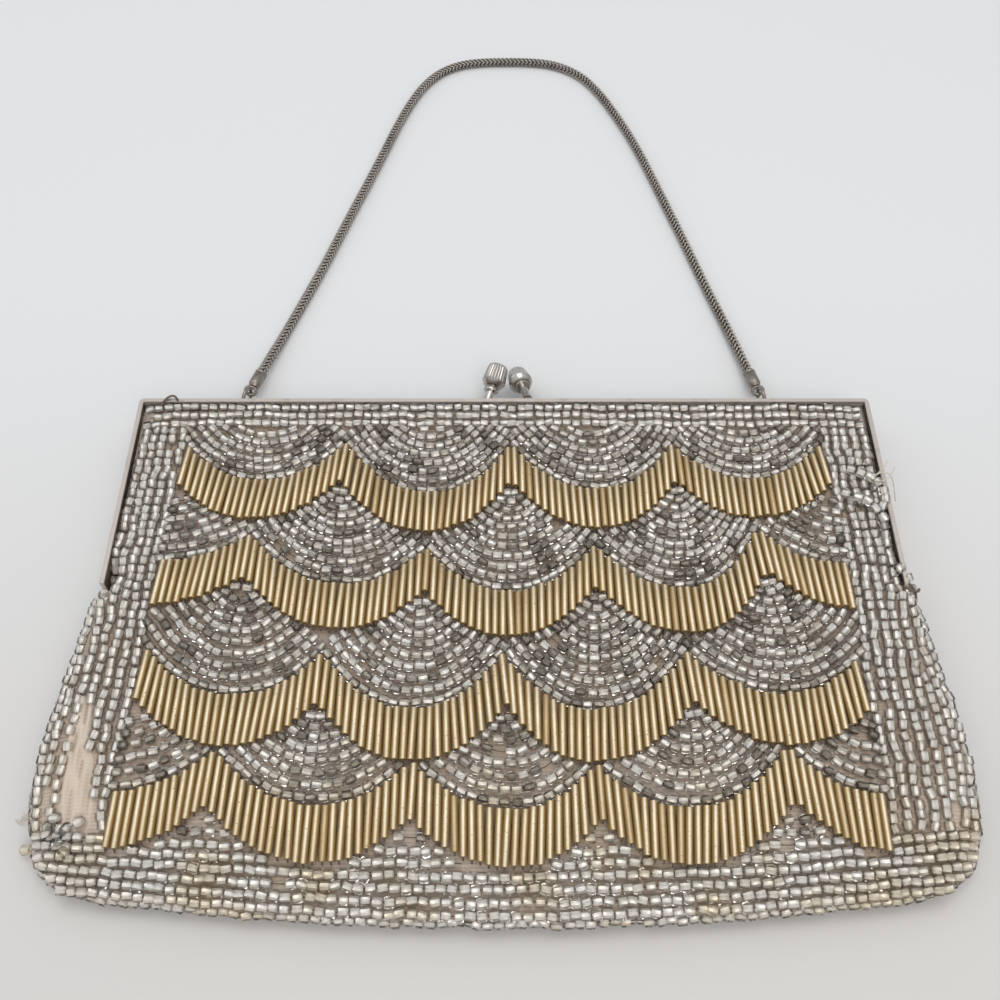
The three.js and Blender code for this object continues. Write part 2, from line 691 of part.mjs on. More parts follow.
export default part;
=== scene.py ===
"""A beaded evening purse that lies on its back, dressed for a studio picture.

The purse's own lengths are in millimetres: x runs across it, down runs from the frame's top edge
towards the bag's bottom edge, and z is the height above the table. Meshes are made in metres.
"""

from __future__ import annotations

import logging
import math
from collections.abc import Iterable, Sequence
from dataclasses import dataclass, replace
from enum import Enum

import bmesh
import bpy
import numpy as np
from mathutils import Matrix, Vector

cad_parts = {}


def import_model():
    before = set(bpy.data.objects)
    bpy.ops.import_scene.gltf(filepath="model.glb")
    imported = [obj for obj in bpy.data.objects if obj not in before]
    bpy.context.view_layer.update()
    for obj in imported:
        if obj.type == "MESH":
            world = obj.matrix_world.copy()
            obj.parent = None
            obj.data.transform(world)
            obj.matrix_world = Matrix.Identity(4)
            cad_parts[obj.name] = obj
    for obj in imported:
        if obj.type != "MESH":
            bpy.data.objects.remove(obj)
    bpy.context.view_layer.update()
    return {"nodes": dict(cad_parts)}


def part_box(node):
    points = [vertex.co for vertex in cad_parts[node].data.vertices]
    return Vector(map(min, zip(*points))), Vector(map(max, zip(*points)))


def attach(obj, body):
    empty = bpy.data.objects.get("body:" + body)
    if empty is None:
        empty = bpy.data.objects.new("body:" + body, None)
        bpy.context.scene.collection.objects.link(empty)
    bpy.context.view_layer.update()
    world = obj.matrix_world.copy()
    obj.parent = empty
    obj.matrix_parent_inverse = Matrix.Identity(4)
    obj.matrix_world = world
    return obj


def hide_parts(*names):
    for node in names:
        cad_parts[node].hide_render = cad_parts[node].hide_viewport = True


log = logging.getLogger("beaded_purse")

MM = 0.001
BODY = "root"

Socket = bpy.types.NodeSocket
Inputs = dict[str | int, object]
Colour = tuple[float, float, float]
Triple = tuple[float, float, float]


class Slot(Enum):
    """The record's material slots."""

    SEED_BEADS = "seed_beads_on_cloth"
    TUBE_BEADS = "tube_beads"
    FRAME = "frame_nickel"
    CLASP = "clasp_nickel"
    CHAIN = "chain_nickel"


class Side(Enum):
    """Left and right of someone who looks at the beaded front."""

    LEFT = -1
    RIGHT = 1


def metres(points: np.ndarray, edge_y: float) -> np.ndarray:
    """Turns purse points into frame points.

    Args:
        points: rows of x, down and z, in millimetres.
        edge_y: the frame's top edge on the Y axis, in millimetres.

    Returns:
        Rows of X, Y and Z, in metres.
    """
    return np.column_stack([points[:, 0], edge_y - points[:, 1], points[:, 2]]) * MM


def mesh_object(name: str, mesh: bpy.types.Mesh) -> bpy.types.Object:
    """Links a mesh to the scene.

    Args:
        name: the piece's name.
        mesh: its finished mesh.

    Returns:
        The new object, at the origin.
    """
    mesh.name = name
    piece = bpy.data.objects.new(name, mesh)
    bpy.context.scene.collection.objects.link(piece)
    return piece


def skin_rings(name: str, rings: np.ndarray, loop: bool = False, smooth: bool = True) -> bpy.types.Mesh:
    """Closes a stack of rings into one skin.

    Args:
        name: the mesh's name.
        rings: the rings' points in metres, as rings by points by three.
        loop: joins the last ring to the first, or else both ends are capped.
        smooth: shades the sides smooth.

    Returns:
        The closed mesh with its faces pointing out.
    """
    stack, around = rings.shape[:2]
    mesh = bmesh.new()
    verts = [mesh.verts.new(point) for point in rings.reshape(-1, 3)]
    for ring in range(stack if loop else stack - 1):
        here, there = ring * around, (ring + 1) % stack * around
        for step in range(around):
            after = (step + 1) % around
            corners = here + step, here + after, there + after, there + step
            mesh.faces.new([verts[corner] for corner in corners]).smooth = smooth
    if not loop:
        mesh.faces.new(verts[:around])
        mesh.faces.new(verts[-around:])
    bmesh.ops.recalc_face_normals(mesh, faces=mesh.faces)
    data = bpy.data.meshes.new(name)
    mesh.to_mesh(data)
    mesh.free()
    return data


def lathe_rings(profile: Sequence[tuple[float, float]], around: int) -> np.ndarray:
    """Turns a profile about Z.

    Args:
        profile: radii and heights, in millimetres.
        around: the number of points round each ring.

    Returns:
        The rings, in millimetres.
    """
    angles = np.arange(around) * 2 * math.pi / around
    circle = np.column_stack([np.cos(angles), np.sin(angles)])
    rings = [np.column_stack([circle * radius, np.full(around, height)]) for radius, height in profile]
    return np.array(rings)


def cubic(ends: tuple, slopes: tuple, t: object, span: object = 1.0) -> np.ndarray:
    """Values on a cubic between two ends.

    Args:
        ends: the values at both ends.
        slopes: the slopes there.
        t: how far along, from 0 to 1.
        span: the distance between the ends.

    Returns:
        The values at t.
    """
    rise = t * t * (3 - 2 * t)
    bend = slopes[0] * t * (1 - t) ** 2 - slopes[1] * t * t * (1 - t)
    return ends[0] * (1 - rise) + ends[1] * rise + span * bend


def smooth_line(knots: np.ndarray, times: np.ndarray, steps: int) -> np.ndarray:
    """A smooth line through points.

    Args:
        knots: the points.
        times: how far along each of them lies.
        steps: the number of steps between two of them.

    Returns:
        The line's points.
    """
    slopes = np.gradient(knots, times, axis=0)
    last = len(knots) - 2
    line = []
    for order in range(last + 1):
        ends, ways = knots[order : order + 2], slopes[order : order + 2]
        span = times[order + 1] - times[order]
        line += [cubic(ends, ways, t, span) for t in np.linspace(0, 1, steps, endpoint=order == last)]
    return np.array(line)


def wire_rings(path: np.ndarray, radius: float, around: int) -> np.ndarray:
    """Sweeps a round wire along a path.

    Args:
        path: the wire's middle line.
        radius: half its thickness.
        around: the number of points round it.

    Returns:
        The rings round the path.
    """
    tangents = np.gradient(path, axis=0)
    tangents /= np.linalg.norm(tangents, axis=1)[:, None]
    side = np.cross(tangents[0], (0.31, 0.17, 0.93))
    angles = np.arange(around) * 2 * math.pi / around
    rings = []
    for point, tangent in zip(path, tangents):
        side = side - tangent * side.dot(tangent)
        side /= np.linalg.norm(side)
        other = np.cross(tangent, side)
        rings.append(point + radius * (np.outer(np.cos(angles), side) + np.outer(np.sin(angles), other)))
    return np.array(rings)


def place_rings(rings: np.ndarray, axis: Vector, origin: np.ndarray) -> np.ndarray:
    """Turns rings from Z to an axis and moves them to an origin.

    Args:
        rings: rings about Z.
        axis: the new axis.
        origin: where the rings' own origin goes.

    Returns:
        The rings in their place.
    """
    turn = np.array(Vector((0, 0, 1)).rotation_difference(axis).to_matrix())
    return rings @ turn.T + origin


def join_meshes(name: str, parts: Sequence[tuple[bpy.types.Mesh, bpy.types.Material]]) -> bpy.types.Object:
    """Joins meshes into one piece.

    Args:
        name: the piece's name.
        parts: each mesh with its material.

    Returns:
        The piece, with one material slot for each material.
    """
    data = bpy.data.meshes.new(name)
    whole = bmesh.new()
    materials: list[bpy.types.Material] = []
    for mesh, material in parts:
        if material not in materials:
            materials.append(material)
        start = len(whole.faces)
        whole.from_mesh(mesh)
        whole.faces.ensure_lookup_table()
        for face in whole.faces[start:]:
            face.material_index = materials.index(material)
        bpy.data.meshes.remove(mesh)
    whole.to_mesh(data)
    whole.free()
    for material in materials:
        data.materials.append(material)
    return mesh_object(name, data)


def polylines_mesh(name: str, lines: Sequence[np.ndarray]) -> bpy.types.Mesh:
    """Makes a mesh of loose edges along polylines.

    Args:
        name: the mesh's name.
        lines: one array of points for each line, in metres.

    Returns:
        The mesh, with no faces.
    """
    points: list[Triple] = []
    edges: list[tuple[int, int]] = []
    for line in lines:
        start = len(points)
        points.extend(map(tuple, line))
        edges.extend((start + step, start + step + 1) for step in range(len(line) - 1))
    mesh = bpy.data.meshes.new(name)
    mesh.from_pydata(points, edges, [])
    return mesh


class TreeBuilder:
    """Builds a node tree, of geometry or of a material, from short calls."""

    def __init__(self, tree: bpy.types.NodeTree) -> None:
        """Keeps the tree that the calls add to."""
        self.tree = tree

    @staticmethod
    def _socket(sockets: Iterable[Socket], key: str | int) -> Socket:
        """Finds a socket by its name among those in use, or by its number."""
        if isinstance(key, int):
            return sockets[key]
        return next(socket for socket in sockets if socket.name == key and socket.enabled)

    def add(self, kind: str, inputs: Inputs | None = None, **settings: object) -> bpy.types.Node:
        """Adds a node.

        Args:
            kind: the node's type.
            inputs: a value, or another node's output socket, for each named or numbered input.
            **settings: the node's own properties.

        Returns:
            The new node.
        """
        node = self.tree.nodes.new(kind)
        for name, value in settings.items():
            setattr(node, name, value)
        for key, value in (inputs or {}).items():
            socket = self._socket(node.inputs, key)
            if isinstance(value, Socket):
                self.tree.links.new(value, socket)
            else:
                socket.default_value = value
        return node

    def out(self, kind: str, inputs: Inputs | None = None, **settings: object) -> Socket:
        """Adds a node and gives its first output that is in use."""
        node = self.add(kind, inputs, **settings)
        return next(socket for socket in node.outputs if socket.enabled)

    def math(self, operation: str, first: object, second: object = 0.0) -> Socket:
        """Adds a sum of two numbers or sockets."""
        return self.out("ShaderNodeMath", {0: first, 1: second}, operation=operation)

    def vector(self, operation: str, first: object, second: object) -> Socket:
        """Adds a sum of two vectors or sockets."""
        return self.out("ShaderNodeVectorMath", {0: first, 1: second}, operation=operation)


class GeometryTree(TreeBuilder):
    """A Geometry Nodes tree with named inputs, which is run once on a mesh."""

    def __init__(self, name: str) -> None:
        """Makes the empty tree with its geometry input and output."""
        super().__init__(bpy.data.node_groups.new(name, "GeometryNodeTree"))
        self.tree.interface.new_socket("Geometry", in_out="INPUT", socket_type="NodeSocketGeometry")
        self.tree.interface.new_socket("Geometry", in_out="OUTPUT", socket_type="NodeSocketGeometry")
        self.entry = self.tree.nodes.new("NodeGroupInput")
        self.values: dict[str, object] = {}

    @property
    def geometry(self) -> Socket:
        """The geometry that comes in."""
        return self.entry.outputs[0]

    def size(self, name: str, value: float) -> Socket:
        """Adds a named number to the tree's inputs."""
        return self._input(name, value, "NodeSocketFloat")

    def whole(self, name: str, value: int) -> Socket:
        """Adds a named whole number to the tree's inputs."""
        return self._input(name, value, "NodeSocketInt")

    def _input(self, name: str, value: object, kind: str) -> Socket:
        """Adds an input of a kind and remembers its value for the modifier."""
        self.tree.interface.new_socket(name, in_out="INPUT", socket_type=kind)
        self.values[name] = value
        return self._socket(self.entry.outputs, name)

    def draw(self, low: object, high: object, seed: Socket, kind: str = "FLOAT") -> Socket:
        """Draws a value between two for each point."""
        inputs = {"Min": low, "Max": high, "Seed": seed}
        return self.out("FunctionNodeRandomValue", inputs, data_type=kind)

    def turn(self, rotation: Socket, angles: Socket) -> Socket:
        """Turns a rotation further about its own axes."""
        further = self.out("FunctionNodeEulerToRotation", {0: angles})
        inputs = {"Rotation": rotation, "Rotate By": further}
        return self.out("FunctionNodeRotateRotation", inputs, rotation_space="LOCAL")

    def copies(self, piece: bpy.types.Object, points: Socket, **places: Socket) -> Socket:
        """Puts a copy of an object on each point, with the rotations and scales given."""
        origin = self.add("GeometryNodeObjectInfo", {"Object": piece}, transform_space="ORIGINAL")
        inputs = {"Points": points, "Instance": origin.outputs["Geometry"], **places}
        return self.out("GeometryNodeInstanceOnPoints", inputs)

    def toned(self, copies: Socket, tone: Socket) -> Socket:
        """Gives each copy a number for its material and makes the copies real."""
        inputs = {"Geometry": copies, "Name": "bead_tone", "Value": tone}
        marked = self.out("GeometryNodeStoreNamedAttribute", inputs, data_type="FLOAT", domain="INSTANCE")
        return self.out("GeometryNodeRealizeInstances", {"Geometry": marked})

    def paint(self, geometry: Socket, material: bpy.types.Material, mark: str = "") -> Socket:
        """Sets the material of all faces, or of those that carry a mark."""
        inputs = {"Geometry": geometry, "Material": material}
        if mark:
            marked = self.out("GeometryNodeInputNamedAttribute", {"Name": mark}, data_type="FLOAT")
            inputs["Selection"] = self.math("GREATER_THAN", marked, 0.5)
        return self.out("GeometryNodeSetMaterial", inputs)

    def wire(self, curve: Socket, radius: Socket, sides: int, material: bpy.types.Material) -> Socket:
        """Sweeps a wire along curves."""
        circle = {"Resolution": sides, "Radius": radius}
        section = self.out("GeometryNodeCurvePrimitiveCircle", circle, mode="RADIUS")
        inputs = {"Curve": curve, "Profile Curve": section, "Fill Caps": True}
        return self.paint(self.out("GeometryNodeCurveToMesh", inputs), material)

    def join(self, *parts: Socket) -> Socket:
        """Joins geometry."""
        node = self.add("GeometryNodeJoinGeometry")
        for part in parts:
            self.tree.links.new(part, node.inputs[0])
        return node.outputs[0]

    def run(self, mesh: bpy.types.Mesh, result: Socket, name: str) -> bpy.types.Object:
        """Runs the tree on a mesh and keeps the outcome as a plain mesh.

        Args:
            mesh: what the tree reads.
            result: the socket that holds the finished geometry.
            name: the new piece's name.

        Returns:
            The finished piece.
        """
        exit_node = self.tree.nodes.new("NodeGroupOutput")
        self.tree.links.new(result, exit_node.inputs[0])
        source = mesh_object(name + "_source", mesh)
        modifier = source.modifiers.new(name, "NODES")
        modifier.node_group = self.tree
        for item in self.tree.interface.items_tree:
            if item.item_type == "SOCKET" and item.name in self.values:
                modifier[item.identifier] = self.values[item.name]
        graph = bpy.context.evaluated_depsgraph_get()
        plain = bpy.data.meshes.new_from_object(
            source.evaluated_get(graph), preserve_all_data_layers=True, depsgraph=graph
        )
        source.modifiers.clear()
        bpy.data.objects.remove(source)
        return mesh_object(name, plain)


class MaterialTree(TreeBuilder):
    """A material with one Principled shader."""

    def __init__(self, name: str) -> None:
        """Makes the material with only its output."""
        self.material = bpy.data.materials.new(name)
        self.material.use_nodes = True
        super().__init__(self.material.node_tree)
        self.tree.nodes.clear()

    @property
    def place(self) -> Socket:
        """The point on the object, in metres."""
        return self.add("ShaderNodeTexCoord").outputs["Object"]

    def attribute(self, name: str) -> Socket:
        """A number that the mesh carries."""
        return self.add("ShaderNodeAttribute", attribute_name=name).outputs["Fac"]

    def along(self, axis: int, start: float, end: float) -> Socket:
        """A number that grows from 0 to 1 between two places on an axis, in metres."""
        split = self.add("ShaderNodeSeparateXYZ", {0: self.place}).outputs[axis]
        inputs = {"Value": split, "From Min": start, "From Max": end}
        return self.out("ShaderNodeMapRange", inputs, interpolation_type="SMOOTHSTEP")

    def noise(self, scale: float, detail: float = 3.0, vector: object = None) -> Socket:
        """Adds a noise of a scale in patches for each metre."""
        inputs = {"Vector": vector or self.place, "Scale": scale, "Detail": detail}
        return self.out("ShaderNodeTexNoise", inputs)

    def ramp(self, factor: object, stops: Sequence[tuple[float, Sequence[float]]]) -> Socket:
        """Adds a colour ramp.

        Args:
            factor: what the ramp reads.
            stops: places from 0 to 1, each with its red, green and blue.

        Returns:
            The ramp's colour.
        """
        node = self.add("ShaderNodeValToRGB", {0: factor})
        elements = node.color_ramp.elements
        while len(elements) < len(stops):
            elements.new(0.5)
        for element, (position, colour) in zip(elements, stops):
            element.position = position
            element.color = (*colour, 1.0)
        return node.outputs["Color"]

    def mix(self, factor: object, first: object, second: object) -> Socket:
        """Mixes two colours."""
        colours = [(*value, 1.0) if isinstance(value, tuple) else value for value in (first, second)]
        inputs = {0: factor, 6: colours[0], 7: colours[1]}
        return self.add("ShaderNodeMix", inputs, data_type="RGBA").outputs[2]

    def remap(self, value: object, low: float, high: float) -> Socket:
        """Spreads a number from 0 to 1 over another range."""
        return self.out("ShaderNodeMapRange", {"Value": value, "To Min": low, "To Max": high})

    def bump(self, height: object, distance: float, strength: float = 1.0, after: object = None) -> Socket:
        """Adds a bump of a height in metres, over another bump if one is given."""
        inputs = {"Height": height, "Distance": distance, "Strength": strength}
        if after is not None:
            inputs["Normal"] = after
        return self.out("ShaderNodeBump", inputs)

    def finish(self, **inputs: object) -> bpy.types.Material:
        """Adds the shader and the output.

        Args:
            **inputs: the shader's inputs, with underscores for spaces.

        Returns:
            The finished material.
        """
        named = {name.replace("_", " "): value for name, value in inputs.items()}
        colour = named.get("Base Color")
        if isinstance(colour, tuple):
            named["Base Color"] = (*colour, 1.0)
        shader = self.add("ShaderNodeBsdfPrincipled", named)
        output = self.add("ShaderNodeOutputMaterial")
        self.tree.links.new(shader.outputs[0], output.inputs["Surface"])
        return self.material


@dataclass(frozen=True)
class BeadGlass:
    """Clear glass of the seed beads, a little greyer on some."""

    clear: Colour = (1.0, 0.995, 0.98)
    smoky: Colour = (0.80, 0.79, 0.75)
    stained: Colour = (0.93, 0.85, 0.70)
    stain_from: float = -0.104
    stain_to: float = -0.132
    roughness: float = 0.03
    ior: float = 1.5

    def material(self) -> bpy.types.Material:
        """Makes the material."""
        tree = MaterialTree("bead_glass")
        tone = tree.attribute("bead_tone")
        colour = tree.ramp(tone, [(0.0, self.smoky), (0.35, self.clear), (1.0, self.clear)])
        patches = tree.ramp(tree.noise(85.0, 3.0), [(0.45, (0, 0, 0)), (0.62, (1, 1, 1))])
        stain = tree.math("MULTIPLY", tree.along(1, self.stain_from, self.stain_to), patches)
        colour = tree.mix(stain, colour, self.stained)
        return tree.finish(Base_Color=colour, Roughness=self.roughness, IOR=self.ior, Transmission_Weight=1.0)


@dataclass(frozen=True)
class BeadLining:
    """The silver lining of a seed bead's hole, tarnished in some."""

    name: str = "bead_lining"
    bright: Colour = (1.0, 0.965, 0.91)
    worn: Colour = (0.84, 0.77, 0.69)
    tarnished: Colour = (0.30, 0.26, 0.22)
    metallic: float = 0.45
    roughness: float = 0.38

    def material(self) -> bpy.types.Material:
        """Makes the material."""
        tree = MaterialTree(self.name)
        patches = tree.remap(tree.noise(70.0, 2.0), -0.22, 0.22)
        tone = tree.math("ADD", tree.attribute("bead_tone"), patches)
        stops = [(0.0, self.tarnished), (0.22, self.worn), (0.55, self.bright), (1.0, self.bright)]
        colour = tree.ramp(tone, stops)
        return tree.finish(Base_Color=colour, Metallic=self.metallic, Roughness=self.roughness)


@dataclass(frozen=True)
class TubeGlass:
    """Satin pale gold of the tube beads, with a painted highlight strip along each bead's upper side and its
    sides painted darker amber as shade.
    """

    gold: Colour = (0.78, 0.66, 0.46)
    pale: Colour = (0.88, 0.79, 0.62)
    worn: Colour = (0.50, 0.37, 0.20)
    # Partly the glass's own amber tint, partly painted shade on each bead's sides.
    side_shade_amber: Colour = (0.38, 0.255, 0.105)
    pit: Colour = (0.16, 0.10, 0.05)
    roughness: float = 0.5
    metallic: float = 0.5

    def material(self) -> bpy.types.Material:
        """Makes the material."""
        tree = MaterialTree("tube_bead_gold")
        tone = tree.attribute("bead_tone")
        colour = tree.ramp(tone, [(0.0, self.worn), (0.12, self.gold), (0.7, self.pale), (1.0, self.pale)])
        mottled = tree.mix(tree.remap(tree.noise(900.0), 0.0, 0.5), colour, self.gold)
        # Painted highlight and shade: the upward-facing crown keeps the pale gold as a highlight strip, and
        # the sides turn amber as painted shade. soiled holds this painted shade, and then the real dark pits.
        crown = tree.attribute("crown")
        ragged = tree.math("ADD", crown, tree.remap(tree.noise(1500.0), -0.03, 0.03))
        side = tree.ramp(ragged, [(0.84, (1, 1, 1)), (0.95, (0, 0, 0))])
        soiled = tree.mix(side, mottled, self.side_shade_amber)
        pits = tree.ramp(tree.noise(2600.0, 1.0), [(0.69, (0, 0, 0)), (0.74, (1, 1, 1))])
        soiled = tree.mix(pits, soiled, self.pit)
        fine = tree.bump(tree.noise(9000.0, 2.0), 0.00002, 0.25)
        return tree.finish(Base_Color=soiled, Metallic=self.metallic, Roughness=self.roughness, Normal=fine)


@dataclass(frozen=True)
class RibbedCloth:
    """Pinkish taupe ribbed cloth under the beads."""

    name: str = "ribbed_cloth"
    light: Colour = (0.43, 0.35, 0.305)
    dark: Colour = (0.26, 0.205, 0.175)
    stain: Colour = (0.50, 0.38, 0.24)
    faded: Colour = (0.66, 0.56, 0.48)
    fade_from: float = -0.096
    fade_to: float = -0.132
    rib_pitch: float = 0.00042

    def material(self) -> bpy.types.Material:
        """Makes the material."""
        tree = MaterialTree(self.name)
        wave = {"Scale": 0.314 / self.rib_pitch / 2, "Distortion": 1.2, "Detail": 2.0, "Detail Scale": 3.0}
        ribs = tree.out("ShaderNodeTexWave", {"Vector": tree.place, **wave}, bands_direction="Y")
        light = tree.mix(tree.along(1, self.fade_from, self.fade_to), self.light, self.faded)
        soiled = tree.mix(tree.remap(tree.noise(60.0, 4.0), -0.4, 0.9), light, self.stain)
        colour = tree.mix(tree.remap(ribs, 0.0, 0.35), soiled, self.dark)
        threads = tree.bump(tree.noise(4200.0, 2.0), 0.00008, 0.5)
        bump = tree.bump(ribs, 0.0001, 0.5, threads)
        return tree.finish(
            Base_Color=colour, Roughness=0.85, Normal=bump, Sheen_Weight=0.3, Specular_IOR_Level=0.25
        )


@dataclass(frozen=True)
class AgedNickel:
    """Nickel plate with a warm bloom, fine scratches and darker spots."""

    name: str
    plate: Colour = (0.56, 0.505, 0.46)
    dull: Colour = (0.36, 0.31, 0.27)
    roughness: tuple[float, float] = (0.34, 0.6)
    spots: float = 0.45

    def material(self) -> bpy.types.Material:
        """Makes the material."""
        tree = MaterialTree(self.name)
        patches = tree.noise(220.0, 5.0)
        black, white = (0, 0, 0), (1, 1, 1)
        spread = tree.ramp(patches, [(0.0, black), (0.55, black), (0.72, white), (1.0, white)])
        colour = tree.mix(tree.math("MULTIPLY", spread, self.spots), self.plate, self.dull)
        stretched = tree.out("ShaderNodeMapping", {"Vector": tree.place, "Scale": (1.0, 12.0, 12.0)})
        scratches = tree.noise(900.0, 4.0, stretched)
        rough = tree.remap(scratches, *self.roughness)
        bump = tree.bump(scratches, 0.00002, 0.35)
        return tree.finish(Base_Color=colour, Metallic=1.0, Roughness=rough, Normal=bump)


@dataclass(frozen=True)
class Thread:
    """Cotton thread of one shade."""

    name: str = "dark_thread"
    colour: Colour = (0.10, 0.075, 0.055)
    faded: Colour = (0.20, 0.15, 0.11)

    def material(self) -> bpy.types.Material:
        """Makes the material."""
        tree = MaterialTree(self.name)
        colour = tree.mix(tree.noise(2500.0), self.colour, self.faded)
        bump = tree.bump(tree.noise(9000.0), 0.00005, 0.6)
        return tree.finish(Base_Color=colour, Roughness=0.8, Normal=bump)


@dataclass(frozen=True)
class Section:
    """One section across the bag.

    Attributes:
        down: its distance from the frame's top edge.
        wide: half its width.
        droop: how far its ends lie nearer to the frame than its middle.
        front: the height of its front face.
        seam: the height of its edge.
        back: the height of its back face.
        square: the power of its front outline, where 2 is an ellipse.
    """

    down: float
    wide: float
    droop: float
    front: float
    seam: float
    back: float
    square: float


@dataclass
class BagForm:
    """The soft bag's outer form, as the frame holds it."""

    height: float = 136.4
    frame_arm: float = 57.3
    frame_wall: float = 1.2
    clearance: float = 0.3
    side_gap: float = 0.6
    set_in: float = 0.6
    mouth_square: float = 24.0
    back_square: float = 8.0
    framed: tuple[Triple, ...] = (
        (0.2, 0.04, 22), (0.45, 0.3, 16), (0.7, 0.62, 11), (0.9, 0.82, 8), (1.0, 0.88, 7),
    )
    # Shares of the free height, the half width, the height, and three of the thickness, and the power.
    free: tuple[tuple[float, float, float, float, float, float, float], ...] = (
        (0.012, 0.912, 0, 0.965, 0.41, 0.0, 6.6), (0.045, 0.948, 0, 0.97, 0.4, 0.0, 5.2),
        (0.1, 0.957, 0, 0.985, 0.38, 0.0, 4), (0.2, 0.969, 0.001, 1.0, 0.35, 0.0, 3.3),
        (0.36, 0.987, 0.004, 1.0, 0.33, 0.0, 3), (0.55, 1.0, 0.01, 0.965, 0.31, 0.0, 2.9),
        (0.7, 0.997, 0.022, 0.88, 0.3, 0.0, 2.9), (0.82, 0.983, 0.034, 0.77, 0.29, 0.0, 3),
        (0.91, 0.959, 0.041, 0.64, 0.28, 0.012, 3.2), (0.962, 0.924, 0.044, 0.53, 0.28, 0.04, 3.4),
        (0.989, 0.895, 0.044, 0.43, 0.27, 0.1, 3.6), (1.0, 0.872, 0.044, 0.33, 0.26, 0.19, 3.8),
    )

    def __post_init__(self) -> None:
        """Takes the bag's width, thickness and place from the frame, and works out its sections."""
        low, high = (np.array(corner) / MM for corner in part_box("beaded_bag"))
        self.width = high[0] - low[0]
        self.thickness = high[2]
        self.edge_y = low[1] + self.height
        self.frame_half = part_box("frame_back")[1][0] / MM
        self.frame_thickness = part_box("frame_front")[1][2] / MM
        self.sections = self._sections()
        self.downs = np.array([section.down for section in self.sections])

    def _sections(self) -> list[Section]:
        """Works out all sections from the mouth to the bottom edge."""
        wide = self.frame_half - self.frame_wall - self.side_gap
        mouth = (self.frame_wall + self.clearance) / self.frame_arm
        front_in_frame = self.frame_thickness - self.set_in
        made = []
        for down, full, square in ((mouth, 0.0, self.mouth_square), *self.framed):
            front = front_in_frame + (self.free[0][3] * self.thickness - front_in_frame) * full
            back = self.set_in * (1 - full)
            made.append(
                Section(down * self.frame_arm, wide, 0.0, front, self.frame_thickness / 2, back, square)
            )
        span = self.height - self.frame_arm
        for down, width, droop, front, seam, back, square in self.free:
            made.append(
                Section(
                    self.frame_arm + down * span,
                    width * self.width / 2,
                    droop * self.height,
                    front * self.thickness,
                    seam * self.thickness,
                    back * self.thickness,
                    square,
                )
            )
        return made

    def value(self, column: str, down: np.ndarray) -> np.ndarray:
        """Reads a column of the sections on a cubic through them.

        Args:
            column: the name of the section's field.
            down: distances from the frame's top edge.

        Returns:
            The column's value at each distance.
        """
        known = np.array([getattr(section, column) for section in self.sections])
        last = len(known) - 1
        order = np.arange(last + 1)
        before, after = np.maximum(order - 1, 0), np.minimum(order + 1, last)
        slopes = (known[after] - known[before]) / (self.downs[after] - self.downs[before])
        row = np.clip(np.searchsorted(self.downs, down, side="right") - 1, 0, last - 1)
        span = self.downs[row + 1] - self.downs[row]
        t = np.clip((down - self.downs[row]) / span, 0, 1)
        return cubic((known[row], known[row + 1]), (slopes[row], slopes[row + 1]), t, span)

    def surface(
        self, share: np.ndarray, down: np.ndarray, inset: np.ndarray | float, front: bool
    ) -> np.ndarray:
        """Points on one face.

        Args:
            share: places across, from -1 to 1 of the section's half width.
            down: the sections' distances down.
            inset: how far inside the outer form the points lie.
            front: the front face, or else the back.

        Returns:
            Rows of x, down and z.
        """
        wide = self.value("wide", down) - inset
        top = self.value("front", down) - inset
        low = self.value("back", down) + inset
        seam = np.clip(self.value("seam", down), low, top)
        square = self.value("square", down)
        power = square if front else np.maximum(self.back_square, square)
        shape = np.maximum(0, 1 - np.abs(share) ** power) ** (1 / power)
        height = seam + (top - seam) * shape if front else seam - (seam - low) * shape
        return np.column_stack([share * wide, down - self.value("droop", down) * share**2, height])

    def section_at(self, x: np.ndarray, down: np.ndarray) -> np.ndarray:
        """Finds the section that passes through a place on the plan."""
        middle = np.array(down, dtype=float)
        for _ in range(6):
            share = np.clip(x / self.value("wide", middle), -1, 1)
            middle = down + self.value("droop", middle) * share**2
        return middle

    def on_front(self, plan: np.ndarray, inset: float) -> np.ndarray:
        """Lifts places on the plan to the front face.

        Args:
            plan: rows of x and down.
            inset: how far inside the outer form the points lie.

        Returns:
            Rows of x, down and z.
        """
        section = self.section_at(plan[:, 0], plan[:, 1])
        wide = self.value("wide", section) - inset
        share = np.clip(plan[:, 0] / wide, -1, 1)
        lifted = self.surface(share, section, inset, front=True)
        return np.column_stack([plan, lifted[:, 2]])

    def climb(self, down: np.ndarray, distance: float, side: Side, inset: float) -> np.ndarray:
        """Points at one distance round the edge from the seam.

        Args:
            down: the sections' distances down.
            distance: how far from the seam along the surface, up the front or, below 0, the back.
            side: the edge.
            inset: how far inside the outer form the points lie.

        Returns:
            Rows of x, down and z.
        """
        shares = np.sin(np.linspace(math.pi / 2, 0.9, 120))
        points = []
        for place in down:
            line = self.surface(side.value * shares, np.full(len(shares), place), inset, front=distance >= 0)
            steps = np.linalg.norm(np.diff(line, axis=0), axis=1)
            along = np.concatenate([[0], np.cumsum(steps)])
            points.append([np.interp(abs(distance), along, line[:, axis]) for axis in range(3)])
        return np.array(points)


@dataclass(frozen=True)
class Scallop:
    """A cusp or a valley of a band's upper edge."""

    x: float
    down: float


